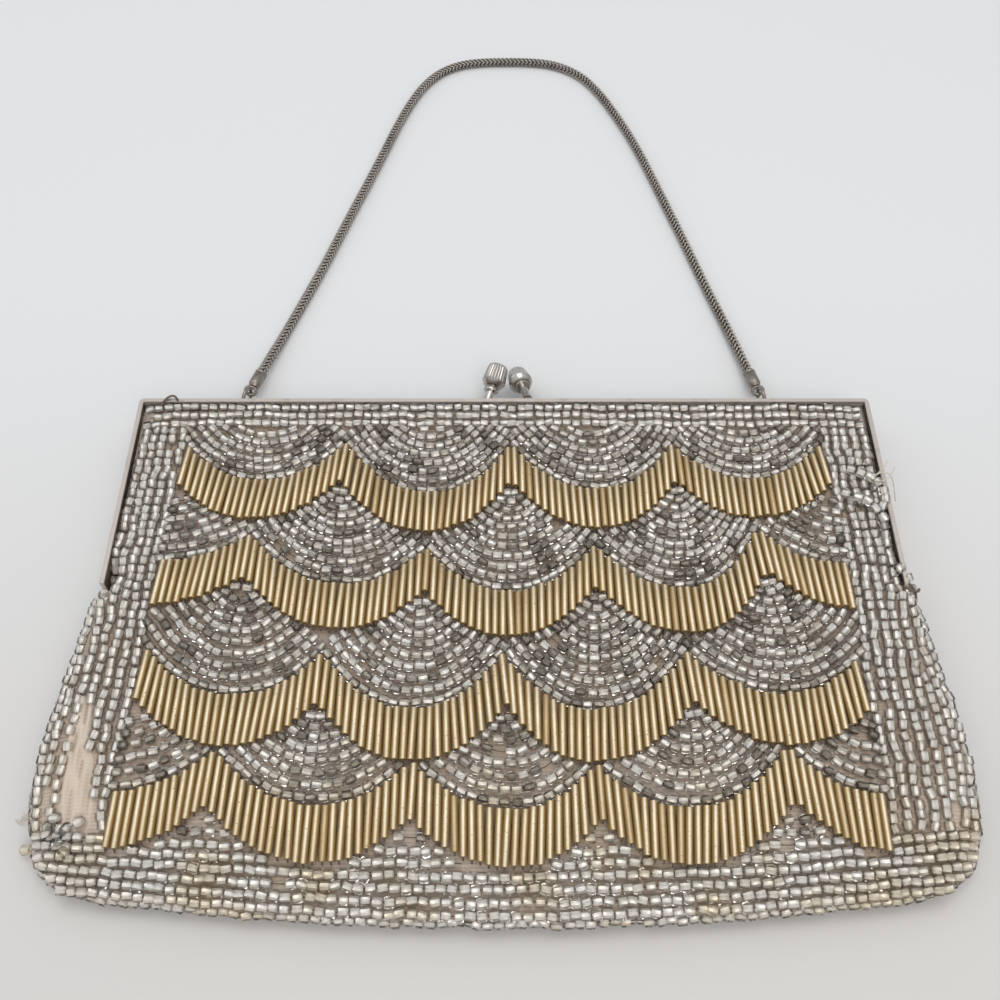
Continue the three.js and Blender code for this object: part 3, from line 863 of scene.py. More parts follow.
@dataclass(frozen=True)
class Band:
    """The upper edge of one band of tube beads."""

    first_is_cusp: bool
    scallops: tuple[Scallop, ...]
    power: float = 2.15

    def edge(self, x: np.ndarray) -> np.ndarray:
        """The upper edge's distance down at places across."""
        knots = np.array([scallop.x for scallop in self.scallops])
        row = np.clip(np.searchsorted(knots, x, side="left"), 1, len(knots) - 1)
        result = np.empty(len(x))
        for place, right in enumerate(row):
            pair = self.scallops[right - 1], self.scallops[right]
            left_is_cusp = ((right - 1) % 2 == 0) == self.first_is_cusp
            cusp, valley = pair if left_is_cusp else pair[::-1]
            share = abs((x[place] - valley.x) / (cusp.x - valley.x))
            result[place] = valley.down + (cusp.down - valley.down) * min(share, 1.0) ** self.power
        return result

    def hang(self, order: int, x: np.ndarray) -> np.ndarray:
        """The curve through one valley to its cusps, continued past them.

        Args:
            order: the valley's place in the list of scallops.
            x: places across.

        Returns:
            The curve's distance down at each place.
        """
        valley = self.scallops[order]
        result = np.full(len(x), valley.down)
        for near in (order - 1, order + 1):
            if 0 <= near < len(self.scallops):
                cusp = self.scallops[near]
                share = np.maximum((x - valley.x) / (cusp.x - valley.x), 0)
                result += (cusp.down - valley.down) * share**self.power
        return result

    @property
    def cusps(self) -> list[int]:
        """The places of the cusps in the list of scallops."""
        return [order for order in range(len(self.scallops)) if (order % 2 == 0) == self.first_is_cusp]


@dataclass
class BandLayout:
    """Where the four bands of tube beads run, and what lies between them."""

    form: BagForm
    half_width: float = 85.0
    bead_length: float = 12.2
    rows: tuple[tuple[bool, tuple[tuple[float, float], ...]], ...] = (
        (
            True,
            (
                (-1.0, 0.115), (-0.755, 0.2), (-0.498, 0.113), (-0.228, 0.229), (0.02, 0.113),
                (0.284, 0.221), (0.527, 0.112), (0.752, 0.197), (1.0, 0.113),
            ),
        ),
        (
            False,
            (
                (-1.01, 0.38), (-0.752, 0.325), (-0.461, 0.43), (-0.231, 0.354), (0.008, 0.444),
                (0.266, 0.346), (0.518, 0.438), (0.756, 0.312), (1.0, 0.388),
            ),
        ),
        (
            True,
            (
                (-1.01, 0.548), (-0.732, 0.639), (-0.506, 0.566), (-0.249, 0.665), (0.0, 0.569),
                (0.238, 0.667), (0.506, 0.562), (0.754, 0.636), (0.985, 0.572),
            ),
        ),
        (
            False,
            (
                (-1.03, 0.797), (-0.77, 0.734), (-0.485, 0.822), (-0.246, 0.756), (0.02, 0.829),
                (0.241, 0.758), (0.479, 0.826), (0.747, 0.727), (0.993, 0.802),
            ),
        ),
    )

    def __post_init__(self) -> None:
        """Works out the bands' scallops in millimetres."""
        self.bands = [
            Band(
                first_is_cusp,
                tuple(Scallop(x * self.half_width, down * self.form.height) for x, down in points),
            )
            for first_is_cusp, points in self.rows
        ]

    def inner_edge(self, down: np.ndarray, side: Side) -> np.ndarray:
        """Where the border starts at each distance down, just past the bands' ends."""
        ends = [band.scallops[0 if side is Side.LEFT else -1] for band in self.bands]
        downs = [end.down + self.bead_length / 2 for end in ends]
        return np.interp(down, downs, [abs(end.x) for end in ends])


@dataclass(frozen=True)
class WornPatch:
    """The bare place in the left border, where beads have come off."""

    # Distances down, with the patch's middle and half its width there.
    outline: tuple[Triple, ...] = (
        (86.0, -98.2, 0.2), (95.0, -98.0, 1.5), (103.0, -97.2, 2.9), (110.0, -96.1, 3.4),
        (116.0, -95.4, 2.4), (118.5, -95.2, 0.6),
    )

    def span(self, down: np.ndarray) -> tuple[np.ndarray, np.ndarray]:
        """The patch's middle and half its width at distances down."""
        downs, middles, halves = (np.array(column) for column in zip(*self.outline))
        return np.interp(down, downs, middles), np.interp(down, downs, halves, left=0.0, right=0.0)

    def clear_of(self, plan: np.ndarray) -> np.ndarray:
        """Says which points of a plan lie outside the patch."""
        middle, half = self.span(plan[:, 1])
        return (half == 0) | (np.abs(plan[:, 0] - middle) > half + 1.0)


@dataclass
class BeadRows:
    """The threads that the seed beads of the front are strung on."""

    form: BagForm
    layout: BandLayout
    worn: WornPatch
    lowest: float = 1.45
    row_pitch: float = 2.75
    edge_gap: float = 1.35
    centre_inset: float = 0.45
    edge_inset: float = 1.05
    mouth_inset: float = 0.72
    upper_gap: float = 1.0
    spill: float = 12.0
    first_row: float = 2.3
    top_rows: int = 3
    border_columns: int = 5
    column_pitch: float = 2.6
    column_spread: float = 0.55
    outer_columns: int = 6
    top_apex: float = 41.0
    strip_downs: tuple[float, ...] = (111.1, 113.8, 116.5, 119.2)
    bottom_downs: tuple[float, ...] = (121.9, 124.4, 126.9, 129.4, 131.9, 134.3)
    step: float = 0.6

    def _lift(self, plan: np.ndarray) -> np.ndarray:
        """Lifts a thread on the plan to the front face, a little lower in the frame and at the edges."""
        section = self.form.section_at(plan[:, 0], plan[:, 1])
        share = np.abs(plan[:, 0]) / self.form.value("wide", section)
        rim = np.clip((plan[:, 1] - 4) / 16, 0, 1)
        inset = self.mouth_inset + (self.centre_inset - self.mouth_inset) * rim
        inset = inset + (self.edge_inset - inset) * np.clip(share, 0, 1) ** 12
        deep = np.clip((plan[:, 1] - 122) / 12, 0, 1)
        inset = inset + (self.edge_inset - inset) * deep
        lifted = self.form.on_front(plan, 0.0)
        lifted[:, 2] -= inset
        return lifted

    def _runs(self, plan: np.ndarray, keep: np.ndarray, shortest: float) -> list[np.ndarray]:
        """Cuts a thread into the runs that are kept, dropping those that are too short for a bead."""
        found = []
        edges = np.flatnonzero(np.diff(np.concatenate([[0], keep.astype(int), [0]])))
        for start, end in zip(edges[::2], edges[1::2]):
            run = plan[start:end]
            if len(run) > 2 and np.linalg.norm(np.diff(run, axis=0), axis=1).sum() > shortest:
                found.append(run)
        return found

    @staticmethod
    def _beside(edge: np.ndarray, x: np.ndarray, shift: float) -> np.ndarray:
        """How far down a line runs that keeps its distance from an edge.

        Args:
            edge: the edge's distance down at each place.
            x: places across.
            shift: the distance at right angles to the edge, below it or, under 0, above it.

        Returns:
            The line's distance down at each place.
        """
        return edge + shift * np.hypot(1, np.gradient(edge, x))

    def _fan(self, above: Band | None, below: Band, order: int) -> list[np.ndarray]:
        """The nested arcs of one fan, which grow from a point to the edge of the band below.

        Args:
            above: the band above the fan, if there is one.
            below: the band below it.
            order: the place in the list of scallops that the fan hangs from.

        Returns:
            One plan of x and down for each arc, or none where no fan hangs.
        """
        if order in below.cusps:
            return []
        valley, last = below.scallops[order], len(below.scallops) - 1
        low = valley.down - self.edge_gap
        apex = np.array([valley.x, low - self.top_apex])
        if above:
            cusp = above.scallops[order]
            apex = np.array([cusp.x, cusp.down + self.layout.bead_length + 0.6])
        left, right = below.scallops[max(order - 1, 0)].x, below.scallops[min(order + 1, last)].x
        left -= self.spill if order == 1 else 0
        right += self.spill if order == last - 1 else 0
        x = np.linspace(left, right, 180)
        lowest = np.column_stack([x, self._beside(below.hang(order, x), x, -self.edge_gap)])
        count = max(2, round((low - apex[1]) / self.row_pitch))
        growth = np.linspace(0.92, 1.08, count)
        shares = np.cumsum(growth) / growth.sum()
        return [apex + (lowest - apex) * share for share in shares]

    def fans(self) -> list[np.ndarray]:
        """All the fans above the bands, and the rows between the last one's scallops."""
        threads = []
        bands = self.layout.bands
        length = self.layout.bead_length
        top = self.first_row + (self.top_rows - 0.35) * self.row_pitch
        for strip, below in enumerate(bands):
            above = bands[strip - 1] if strip else None
            for order in range(len(below.scallops)):
                for arc in self._fan(above, below, order):
                    x, down = arc[:, 0], arc[:, 1]
                    upper = self._beside(above.edge(x), x, self.upper_gap) + length if above else top
                    inner = [self.layout.inner_edge(down, side) for side in Side]
                    keep = (down > upper) & (np.abs(x) < np.where(x < 0, *inner) + 0.2)
                    threads += self._runs(arc, keep, 1.6)
        return [self._lift(thread) for thread in threads] + self._rows(self.strip_downs)

    def top_edge(self) -> list[np.ndarray]:
        """The straight rows along the frame's top edge."""
        reach = self.form.sections[0].wide - 1.4
        x = np.arange(-reach, reach, self.step)
        downs = [self.first_row + self.row_pitch * row for row in range(self.top_rows)]
        return [self._lift(np.column_stack([x, np.full(len(x), down)])) for down in downs]

    def borders(self) -> list[np.ndarray]:
        """The columns down both sides, from the top rows to the bottom ones."""
        threads = []
        start = self.first_row + self.row_pitch * self.top_rows
        end = self.bottom_downs[0] + 1.0
        for side in Side:
            down = np.arange(start, end, self.step)
            inner = self.layout.inner_edge(down, side) + 1.5
            pitch = self.column_pitch + self.column_spread * np.clip((down - 40) / 60, 0, 1)
            for column in range(self.border_columns):
                plan = np.column_stack([side.value * (inner + column * pitch), down])
                keep = self.form.section_at(plan[:, 0], down) < self.bottom_downs[0] - 2.3
                if side is Side.LEFT:
                    keep &= self.worn.clear_of(plan)
                threads += [self._lift(run) for run in self._runs(plan, keep, 2.2)]
            last = inner + (self.border_columns - 1) * pitch
            free = down > self.form.frame_arm + 1.5
            for column in range(self.outer_columns):
                climbed = self.form.climb(down, column * 2.6, side, self.edge_inset)
                keep = free & (np.abs(climbed[:, 0]) > last + 2.3) & (down < self.bottom_downs[0] - 2.3)
                threads += self._runs(climbed, keep, 4.0)
        return threads

    def seam(self) -> list[np.ndarray]:
        """The rows round the bag's edge, from hinge to hinge, and those just below it."""
        threads = []
        for distance in (0.0, -2.5):
            down = np.arange(self.form.frame_arm + 2.6, self.form.height - 2.5, self.step)
            left = self.form.climb(down, distance, Side.LEFT, self.edge_inset)
            right = self.form.climb(down, distance, Side.RIGHT, self.edge_inset)
            share = np.linspace(-0.96, 0.96, 320)
            last = np.full(len(share), self.form.height)
            low = self.form.surface(share, last, 0.0, front=distance >= 0)
            low[:, 1] -= self.edge_inset if distance >= 0 else self.edge_inset + 0.7
            low[:, 2] += -0.6 if distance >= 0 else 0.4
            line = self._smooth(np.vstack([left, low, right[::-1]]))
            line[:, 2] = np.maximum(line[:, 2], self.lowest + 0.15)
            threads.append(line)
        return threads

    @staticmethod
    def _smooth(line: np.ndarray, passes: int = 14) -> np.ndarray:
        """Evens out a thread where two stretches meet."""
        for _ in range(passes):
            line[1:-1] = (line[:-2] + 2 * line[1:-1] + line[2:]) / 4
        return line

    def _rows(self, downs: Sequence[float]) -> list[np.ndarray]:
        """Rows straight across, cut where the last band of tube beads lies.

        Args:
            downs: the sections that the rows follow.

        Returns:
            The rows' runs.
        """
        threads = []
        band = self.layout.bands[-1]
        for down in downs:
            share = np.linspace(-0.985, 0.985, 340)
            line = self.form.surface(share, np.full(len(share), down), self.edge_inset, front=True)
            line[:, 2] += self.edge_inset - self.centre_inset
            edges = [self.layout.inner_edge(line[:, 1], side) for side in Side]
            beside = np.abs(line[:, 0]) > np.where(line[:, 0] < 0, *edges) + 0.4
            x = line[:, 0]
            keep = line[:, 1] > self._beside(band.edge(x), x, self.upper_gap) + self.layout.bead_length
            keep = keep & ~beside if down < self.bottom_downs[0] else keep | beside
            threads += self._runs(line, keep, 1.0)
        return threads

    def bottom(self) -> list[np.ndarray]:
        """The rows along the bottom edge."""
        return self._rows(self.bottom_downs)

    def back(self) -> list[np.ndarray]:
        """The rows straight across the back."""
        threads = []
        for down in np.arange(2.9, self.form.height - 2.0, self.row_pitch):
            share = np.linspace(-0.985, 0.985, 240)
            section = np.full(len(share), down)
            line = self.form.surface(share, section, self.mouth_inset, front=False)
            line[:, 2] = np.maximum(line[:, 2], self.lowest)
            threads.append(line)
        return threads


@dataclass
class SeedBeads:
    """Silver-lined seed beads, strung along threads."""

    glass: bpy.types.Material
    lining: bpy.types.Material
    thread: bpy.types.Material
    length: float = 2.36
    radius: float = 1.17
    rim_radius: float = 0.84
    rim_length: float = 1.84
    lining_radius: float = 0.62
    spacing: float = 2.47
    tones: tuple[float, float] = (0.0, 1.0)
    wander: float = 1.2
    tilt: float = 8.0
    thread_radius: float = 0.14
    sides: int = 10
    core_sides: int = 6
    core_share: float = 0.85
    missing: float = 0.007

    def _prototype(self) -> bpy.types.Object:
        """Makes one bead along Z, whose lining's points carry a mark."""
        end, rim = self.length / 2, self.rim_length / 2
        profile = [(self.rim_radius, -end), (self.radius, -rim), (self.radius, rim), (self.rim_radius, end)]
        glass = skin_rings("glass", lathe_rings(profile, self.sides) * MM)
        core_end = end * self.core_share
        core_profile = [(self.lining_radius, -core_end), (self.lining_radius, core_end)]
        core = skin_rings("core", lathe_rings(core_profile, self.core_sides) * MM, smooth=False)
        for mesh, marked in ((glass, 0.0), (core, 1.0)):
            mark = mesh.attributes.new("lining", "FLOAT", "POINT")
            mark.data.foreach_set("value", [marked] * len(mesh.vertices))
        return join_meshes("seed_bead", [(glass, self.glass), (core, self.lining)])

    def string(self, name: str, threads: Sequence[np.ndarray], edge_y: float, seed: int) -> bpy.types.Object:
        """Strings beads along threads.

        Args:
            name: the piece's name.
            threads: rows of x, down and z for each thread.
            edge_y: the frame's top edge on the Y axis, in millimetres.
            seed: what the beads' small differences are drawn from.

        Returns:
            The beads and their threads, joined into one piece.
        """
        prototype = self._prototype()
        tree = GeometryTree(name)
        spacing = tree.size("Bead spacing", self.spacing * MM)
        missing = tree.size("Share of missing beads", self.missing)
        wander = tree.size("Thread wander", self.wander * MM)
        tilt = tree.size("Bead tilt", math.radians(self.tilt))
        gauge = tree.size("Thread radius", self.thread_radius * MM)
        draw = tree.whole("Seed", seed)
        curves = tree.out("GeometryNodeMeshToCurve", {"Mesh": tree.geometry})
        even = tree.out("GeometryNodeResampleCurve", {"Curve": curves, "Length": spacing}, mode="LENGTH")
        drift = tree.add("ShaderNodeTexNoise", {"Scale": 190.0, "Detail": 1.0}).outputs["Color"]
        centred = tree.vector("SUBTRACT", drift, (0.5, 0.5, 0.5))
        flat = tree.vector("MULTIPLY", centred, (1.0, 1.0, 0.12))
        moved = tree.out("ShaderNodeVectorMath", {0: flat, "Scale": wander}, operation="SCALE")
        even = tree.out("GeometryNodeSetPosition", {"Geometry": even, "Offset": moved})
        strung = tree.add("GeometryNodeCurveToPoints", {"Curve": even}, mode="EVALUATED")
        chance = {"Probability": missing, "Seed": draw}
        lost = tree.out("FunctionNodeRandomValue", chance, data_type="BOOLEAN")
        all_points = {"Geometry": strung.outputs["Points"], "Selection": lost}
        points = tree.out("GeometryNodeDeleteGeometry", all_points)
        least = tree.math("MULTIPLY", tilt, -1.0)
        low = tree.out("ShaderNodeCombineXYZ", {"X": least, "Y": least, "Z": 0.0})
        high = tree.out("ShaderNodeCombineXYZ", {"X": tilt, "Y": tilt, "Z": 2 * math.pi})
        turned = tree.turn(strung.outputs["Rotation"], tree.draw(low, high, draw, "FLOAT_VECTOR"))
        scale = tree.draw((0.92, 0.92, 0.82), (1.05, 1.05, 1.03), draw, "FLOAT_VECTOR")
        beads = tree.copies(prototype, points, Rotation=turned, Scale=scale)
        dullest = tree.size("Dullest tone", self.tones[0])
        brightest = tree.size("Brightest tone", self.tones[1])
        real = tree.toned(beads, tree.draw(dullest, brightest, draw))
        lined = tree.paint(tree.paint(real, self.glass), self.lining, "lining")
        cotton = tree.wire(even, gauge, 4, self.thread)
        mesh = polylines_mesh(name, [metres(thread, edge_y) for thread in threads])
        piece = tree.run(mesh, tree.join(cotton, lined), name)
        bpy.data.objects.remove(prototype)
        return piece


@dataclass
class TubeBeads:
    """The long tube beads of one band, with the stitches at their ends."""

    form: BagForm
    layout: BandLayout
    gold: bpy.types.Material
    thread: bpy.types.Material
    radius: float = 0.94
    hole: float = 0.42
    hole_depth: float = 0.6
    rim: float = 0.16
    pitch: float = 1.88
    centre_lift: float = 0.25
    thread_radius: float = 0.23
    stitch_reach: float = 0.62
    sides: int = 10
    lengths: tuple[float, float] = (0.97, 1.02)

    def _prototype(self) -> bpy.types.Object:
        """Makes one bead along Z with a stitch at each end; its X side is its upper side."""
        half = self.layout.bead_length / 2
        end = [
            (0.02, half - self.hole_depth),
            (self.hole, half - self.hole_depth),
            (self.hole, half),
            (self.radius - self.rim, half),
            (self.radius, half - self.rim),
        ]
        profile = end + [(radius, -height) for radius, height in reversed(end)]
        tube = skin_rings("tube", lathe_rings(profile, self.sides) * MM)
        # crown says how far each point faces up. The gold material paints a highlight strip where it is high
        # and shade on the sides.
        self._mark(tube, "crown", [vertex.co.x / (self.radius * MM) for vertex in tube.vertices])
        self._mark(tube, "stitch", [0.0] * len(tube.vertices))
        parts = [(tube, self.gold)]
        for way in (-1, 1):
            bend = np.array([(0.05, 0, -0.4), (0.1, 0, 0.1), (-0.05, 0, 0.45), (-0.75, 0, self.stitch_reach)])
            bend[:, 2] = way * (half + bend[:, 2])
            stitch = skin_rings("stitch", wire_rings(bend, self.thread_radius, 4) * MM)
            self._mark(stitch, "crown", [0.0] * len(stitch.vertices))
            self._mark(stitch, "stitch", [1.0] * len(stitch.vertices))
            parts.append((stitch, self.thread))
        return join_meshes("tube_bead", parts)

    @staticmethod
    def _mark(mesh: bpy.types.Mesh, name: str, values: Sequence[float]) -> None:
        """Gives each point of a mesh a number."""
        mesh.attributes.new(name, "FLOAT", "POINT").data.foreach_set("value", values)

    def _places(self, order: int, seed: int) -> tuple[np.ndarray, np.ndarray]:
        """Works out the middle and the direction of each bead of a band.

        Args:
            order: the band, counted from the frame.
            seed: what the beads' small differences are drawn from.

        Returns:
            The middles and the directions, in metres.
        """
        band = self.layout.bands[order]
        start, end = band.scallops[0].x, band.scallops[-1].x
        count = round((end - start) / self.pitch)
        draw = np.random.default_rng(seed)
        slow = np.convolve(draw.normal(0, 1, count + 8), np.ones(9) / 9, mode="valid")
        x = start + (np.arange(count) + 0.5) * (end - start) / count + draw.normal(0, 0.04, count)
        lean = 0.004 * x + 0.5 * slow + draw.normal(0, 0.06, count)
        slip = draw.normal(0, 0.14, count)
        upper = np.column_stack([x - lean, band.edge(x) + slip])
        lower = np.column_stack([x + lean, band.edge(x) + slip + self.layout.bead_length])
        top, middle, low = (self.form.on_front(plan, 0.0) for plan in (upper, (upper + lower) / 2, lower))
        crown = np.maximum(0, middle[:, 2] - (top[:, 2] + low[:, 2]) / 2)
        centre = (top + low) / 2
        centre[:, 2] += crown + self.centre_lift
        return metres(centre, self.form.edge_y), metres(top, 0) - metres(low, 0)

    def sew(self, name: str, order: int, seed: int) -> bpy.types.Object:
        """Sews one band's beads side by side.

        Args:
            name: the piece's name.
            order: the band, counted from the frame.
            seed: what the beads' small differences are drawn from.

        Returns:
            The beads, joined into one piece.
        """
        centres, directions = self._places(order, seed)
        mesh = bpy.data.meshes.new(name)
        mesh.from_pydata([tuple(point) for point in centres], [], [])
        mesh.attributes.new("along", "FLOAT_VECTOR", "POINT").data.foreach_set("vector", directions.ravel())
        prototype = self._prototype()
        tree = GeometryTree(name)
        draw = tree.whole("Seed", seed)
        widest = tree.size("Widest bead", 1.01)
        narrowest = tree.size("Narrowest bead", 0.95)
        direction = tree.out("GeometryNodeInputNamedAttribute", {"Name": "along"}, data_type="FLOAT_VECTOR")
        aligned = tree.out("FunctionNodeAlignRotationToVector", {"Vector": direction}, axis="Z")
        upright = tree.out(
            "FunctionNodeAlignRotationToVector",
            {"Rotation": aligned, "Vector": (0.0, 0.0, 1.0)},
            axis="X",
            pivot_axis="Z",
        )
        width = tree.draw(narrowest, widest, draw)
        length = tree.draw(*self.lengths, draw)
        scale = tree.out("ShaderNodeCombineXYZ", {"X": width, "Y": width, "Z": length})
        beads = tree.copies(prototype, tree.geometry, Rotation=upright, Scale=scale)
        real = tree.toned(beads, tree.draw(0.0, 1.0, draw))
        sewn = tree.paint(tree.paint(real, self.gold), self.thread, "stitch")
        piece = tree.run(mesh, sewn, name)
        bpy.data.objects.remove(prototype)
        return piece


@dataclass
class LooseEnds:
    """Stray beads, frayed threads and the bare cloth, where the purse is worn."""

    form: BagForm
    worn: WornPatch
    cotton: bpy.types.Material
    dark: bpy.types.Material
    bare: bpy.types.Material
    gauge: float = 0.16
    # Points of x, down and z.
    beaded: tuple[tuple[Triple, ...], ...] = (
        (
            (-97.5, 117.3, 8.2), (-99.9, 118.9, 6.6), (-102.5, 119.6, 5.0),
            (-104.9, 119.9, 3.4), (-107.0, 119.3, 2.2),
        ),
        ((-93.8, 115.3, 9.9), (-96.6, 116.5, 9.0), (-98.2, 119.2, 7.6), (-96.2, 121.4, 8.3)),
        ((-102.2, 115.4, 6.9), (-99.5, 114.2, 8.6), (-98.2, 116.8, 8.6), (-100.4, 118.2, 7.2)),
        ((-103.3, 122.2, 3.0), (-101.2, 123.9, 4.0), (-100.2, 126.0, 3.0)),
        (
            (91.2, 24.0, 13.0), (94.2, 25.8, 13.4), (97.6, 28.6, 13.4),
            (98.4, 32.2, 12.9), (97.2, 35.4, 12.6),
        ),
        ((88.3, 31.6, 13.4), (91.3, 33.2, 13.9), (94.3, 35.6, 13.8), (96.4, 38.8, 13.1)),
        ((98.6, 52.6, 11.6), (100.2, 54.9, 11.1), (101.2, 57.8, 9.6)),
    )
    pale: tuple[tuple[Triple, ...], ...] = (
        (
            (-104.0, 112.6, 5.4), (-106.4, 113.2, 4.2), (-108.4, 112.4, 2.8),
            (-110.2, 112.9, 1.2), (-112.2, 112.2, 0.4),
        ),
        ((-103.6, 114.2, 5.2), (-106.8, 113.9, 3.4), (-109.8, 111.2, 1.4), (-111.0, 112.6, 0.4)),
        (
            (95.6, 27.2, 13.0), (98.0, 25.9, 14.3), (100.4, 26.4, 14.0),
            (101.6, 28.2, 12.2), (102.2, 31.6, 9.6),
        ),
        (
            (95.2, 27.9, 13.0), (97.6, 28.7, 14.6), (99.8, 27.6, 14.9),
            (101.4, 25.2, 14.1), (102.6, 23.2, 12.9),
        ),
        ((96.8, 26.2, 13.2), (98.9, 24.4, 14.3), (100.6, 22.1, 14.2)),
    )
    soiled: tuple[tuple[Triple, ...], ...] = (
        (
            (-93.4, 1.6, 12.3), (-92.3, 0.5, 12.8), (-91.2, -0.3, 12.8),
            (-90.2, -0.2, 12.6), (-89.4, 0.9, 12.5),
        ),
        (
            (99.6, 56.8, 12.0), (101.0, 58.0, 11.2), (102.0, 59.3, 9.4),
            (101.6, 61.6, 8.4), (100.4, 63.0, 8.2),
        ),
        ((98.6, 58.2, 12.0), (100.6, 58.9, 11.4), (102.6, 58.2, 9.8), (103.4, 57.2, 9.0)),
    )

    @staticmethod
    def _curve(points: Sequence[Triple]) -> np.ndarray:
        """A smooth line through points."""
        return smooth_line(np.array(points), np.arange(len(points)), 12)

    def strings(self) -> list[np.ndarray]:
        """The threads of the beads that hang loose."""
        return [self._curve(points) for points in self.beaded]

    def threads(self, name: str) -> bpy.types.Object:
        """Makes the bare threads, pale and soiled.

        Args:
            name: the piece's name.

        Returns:
            The threads, joined into one piece.
        """
        parts = []
        for group, material, gauge in ((self.pale, self.cotton, self.gauge), (self.soiled, self.dark, 0.34)):
            for points in group:
                rings = wire_rings(metres(self._curve(points), self.form.edge_y), gauge * MM, 6)
                parts.append((skin_rings("loose_thread", rings), material))
        return join_meshes(name, parts)

    def patch(self, name: str) -> bpy.types.Object:
        """Makes the bare cloth of the worn place, drawn into folds.

        Args:
            name: the piece's name.

        Returns:
            The folded cloth.
        """
        downs = np.linspace(self.worn.outline[0][0], self.worn.outline[-1][0], 60)
        middle, half = self.worn.span(downs)
        share = np.linspace(-1, 1, 25)
        top = []
        for down, centre, reach in zip(downs, middle, half):
            x = centre + share * (reach + 1.5)
            line = self.form.on_front(np.column_stack([x, np.full(len(x), down)]), 0.0)
            folds = np.sin(1.5 * x + 0.22 * down + 0.8 * np.sin(0.19 * down))
            folds = folds + 0.5 * np.sin(2.9 * x - 0.3 * down)
            line[:, 2] += -0.75 + 0.6 * folds * (1 - share**2) - 0.9 * share**4
            top.append(metres(line, self.form.edge_y))
        upper = np.array(top)
        lower = upper[:, ::-1] - np.array([0, 0, 0.3 * MM])
        mesh = skin_rings(name, np.concatenate([upper, lower], axis=1))
        return join_meshes(name, [(mesh, self.bare)])


@dataclass
class ClothBag:
    """The cloth that the beads are sewn on."""

    form: BagForm
    material: bpy.types.Material
    front_inset: float = 1.7
    back_inset: float = 1.9
    lower_back_inset: float = 2.5
    hem: float = 1.6
    across: int = 90
    framed_steps: int = 30
    free_steps: int = 54

    def build(self, name: str) -> bpy.types.Object:
        """Makes the bag's shell, open at its mouth.

        Args:
            name: the piece's name.

        Returns:
            The cloth bag.
        """
        form = self.form
        framed = np.linspace(form.downs[0], form.frame_arm, self.framed_steps)
        free = np.linspace(form.frame_arm + 0.6, form.height - self.hem, self.free_steps)
        share = np.sin(np.linspace(-math.pi / 2, math.pi / 2, self.across + 1))
        rings = []
        for down in np.concatenate([framed, free]):
            section = np.full(len(share), down)
            front = form.surface(share, section, self.front_inset, front=True)
            lower = np.clip((down - form.frame_arm) / 6, 0, 1)
            inset = self.back_inset + (self.lower_back_inset - self.back_inset) * lower
            back = form.surface(share, section, inset, front=False)
            rings.append(metres(np.vstack([front, back[-2:0:-1]]), form.edge_y))
        mesh = skin_rings(name, np.array(rings))
        return join_meshes(name, [(mesh, self.material)])


@dataclass
class SquareFrame:
    """The two halves of the metal frame, with their rivets and the ears for the chain; their inner walls are
    painted darker, partly tarnish, partly painted shade.
    """

    nickel: bpy.types.Material
    tarnish_and_shade: bpy.types.Material
    edge_radius: float = 0.16
    edge_angle: float = 28.0
    smooth_angle: float = 25.0
    top_bar: float = 12.0

    def soften(self, node: bpy.types.Object, name: str) -> bpy.types.Object:
        """Copies a solid and rounds its edges, as pressed and plated metal has them.

        Args:
            node: the solid.
            name: the piece's name.

        Returns:
            The piece with rounded edges.
        """
        mesh = bmesh.new()
        mesh.from_mesh(node.data)
        bmesh.ops.remove_doubles(mesh, verts=mesh.verts, dist=1e-7)
        bmesh.ops.dissolve_limit(mesh, angle_limit=0.004, verts=mesh.verts, edges=mesh.edges)
        sharp = [edge for edge in mesh.edges if edge.calc_face_angle(0.0) > math.radians(self.edge_angle)]
        bmesh.ops.bevel(
            mesh, geom=sharp, offset=self.edge_radius * MM, segments=2, affect="EDGES", clamp_overlap=True
        )
        top = max(vertex.co.y for vertex in mesh.verts) - self.top_bar * MM
        # Walls that face into the bag, and those under the top bar, get the dark nickel: partly tarnish,
        # partly painted shade in these recesses.
        for face in mesh.faces:
            face.smooth = True
            centre = face.calc_center_median()
            under_top = face.normal.y < -0.5 and centre.y > top
            face.material_index = int(under_top or face.normal.x * math.copysign(1, centre.x) < -0.5)
        data = bpy.data.meshes.new(name)
        mesh.to_mesh(data)
        mesh.free()
        data.set_sharp_from_angle(angle=math.radians(self.smooth_angle))
        data.materials.append(self.nickel)
        data.materials.append(self.tarnish_and_shade)
        return mesh_object(name, data)


@dataclass(frozen=True)
class Knob:
    """Where one knob of the kiss-lock stands and how it leans."""

    name: str
    across: float
    height: float
    lean: Triple


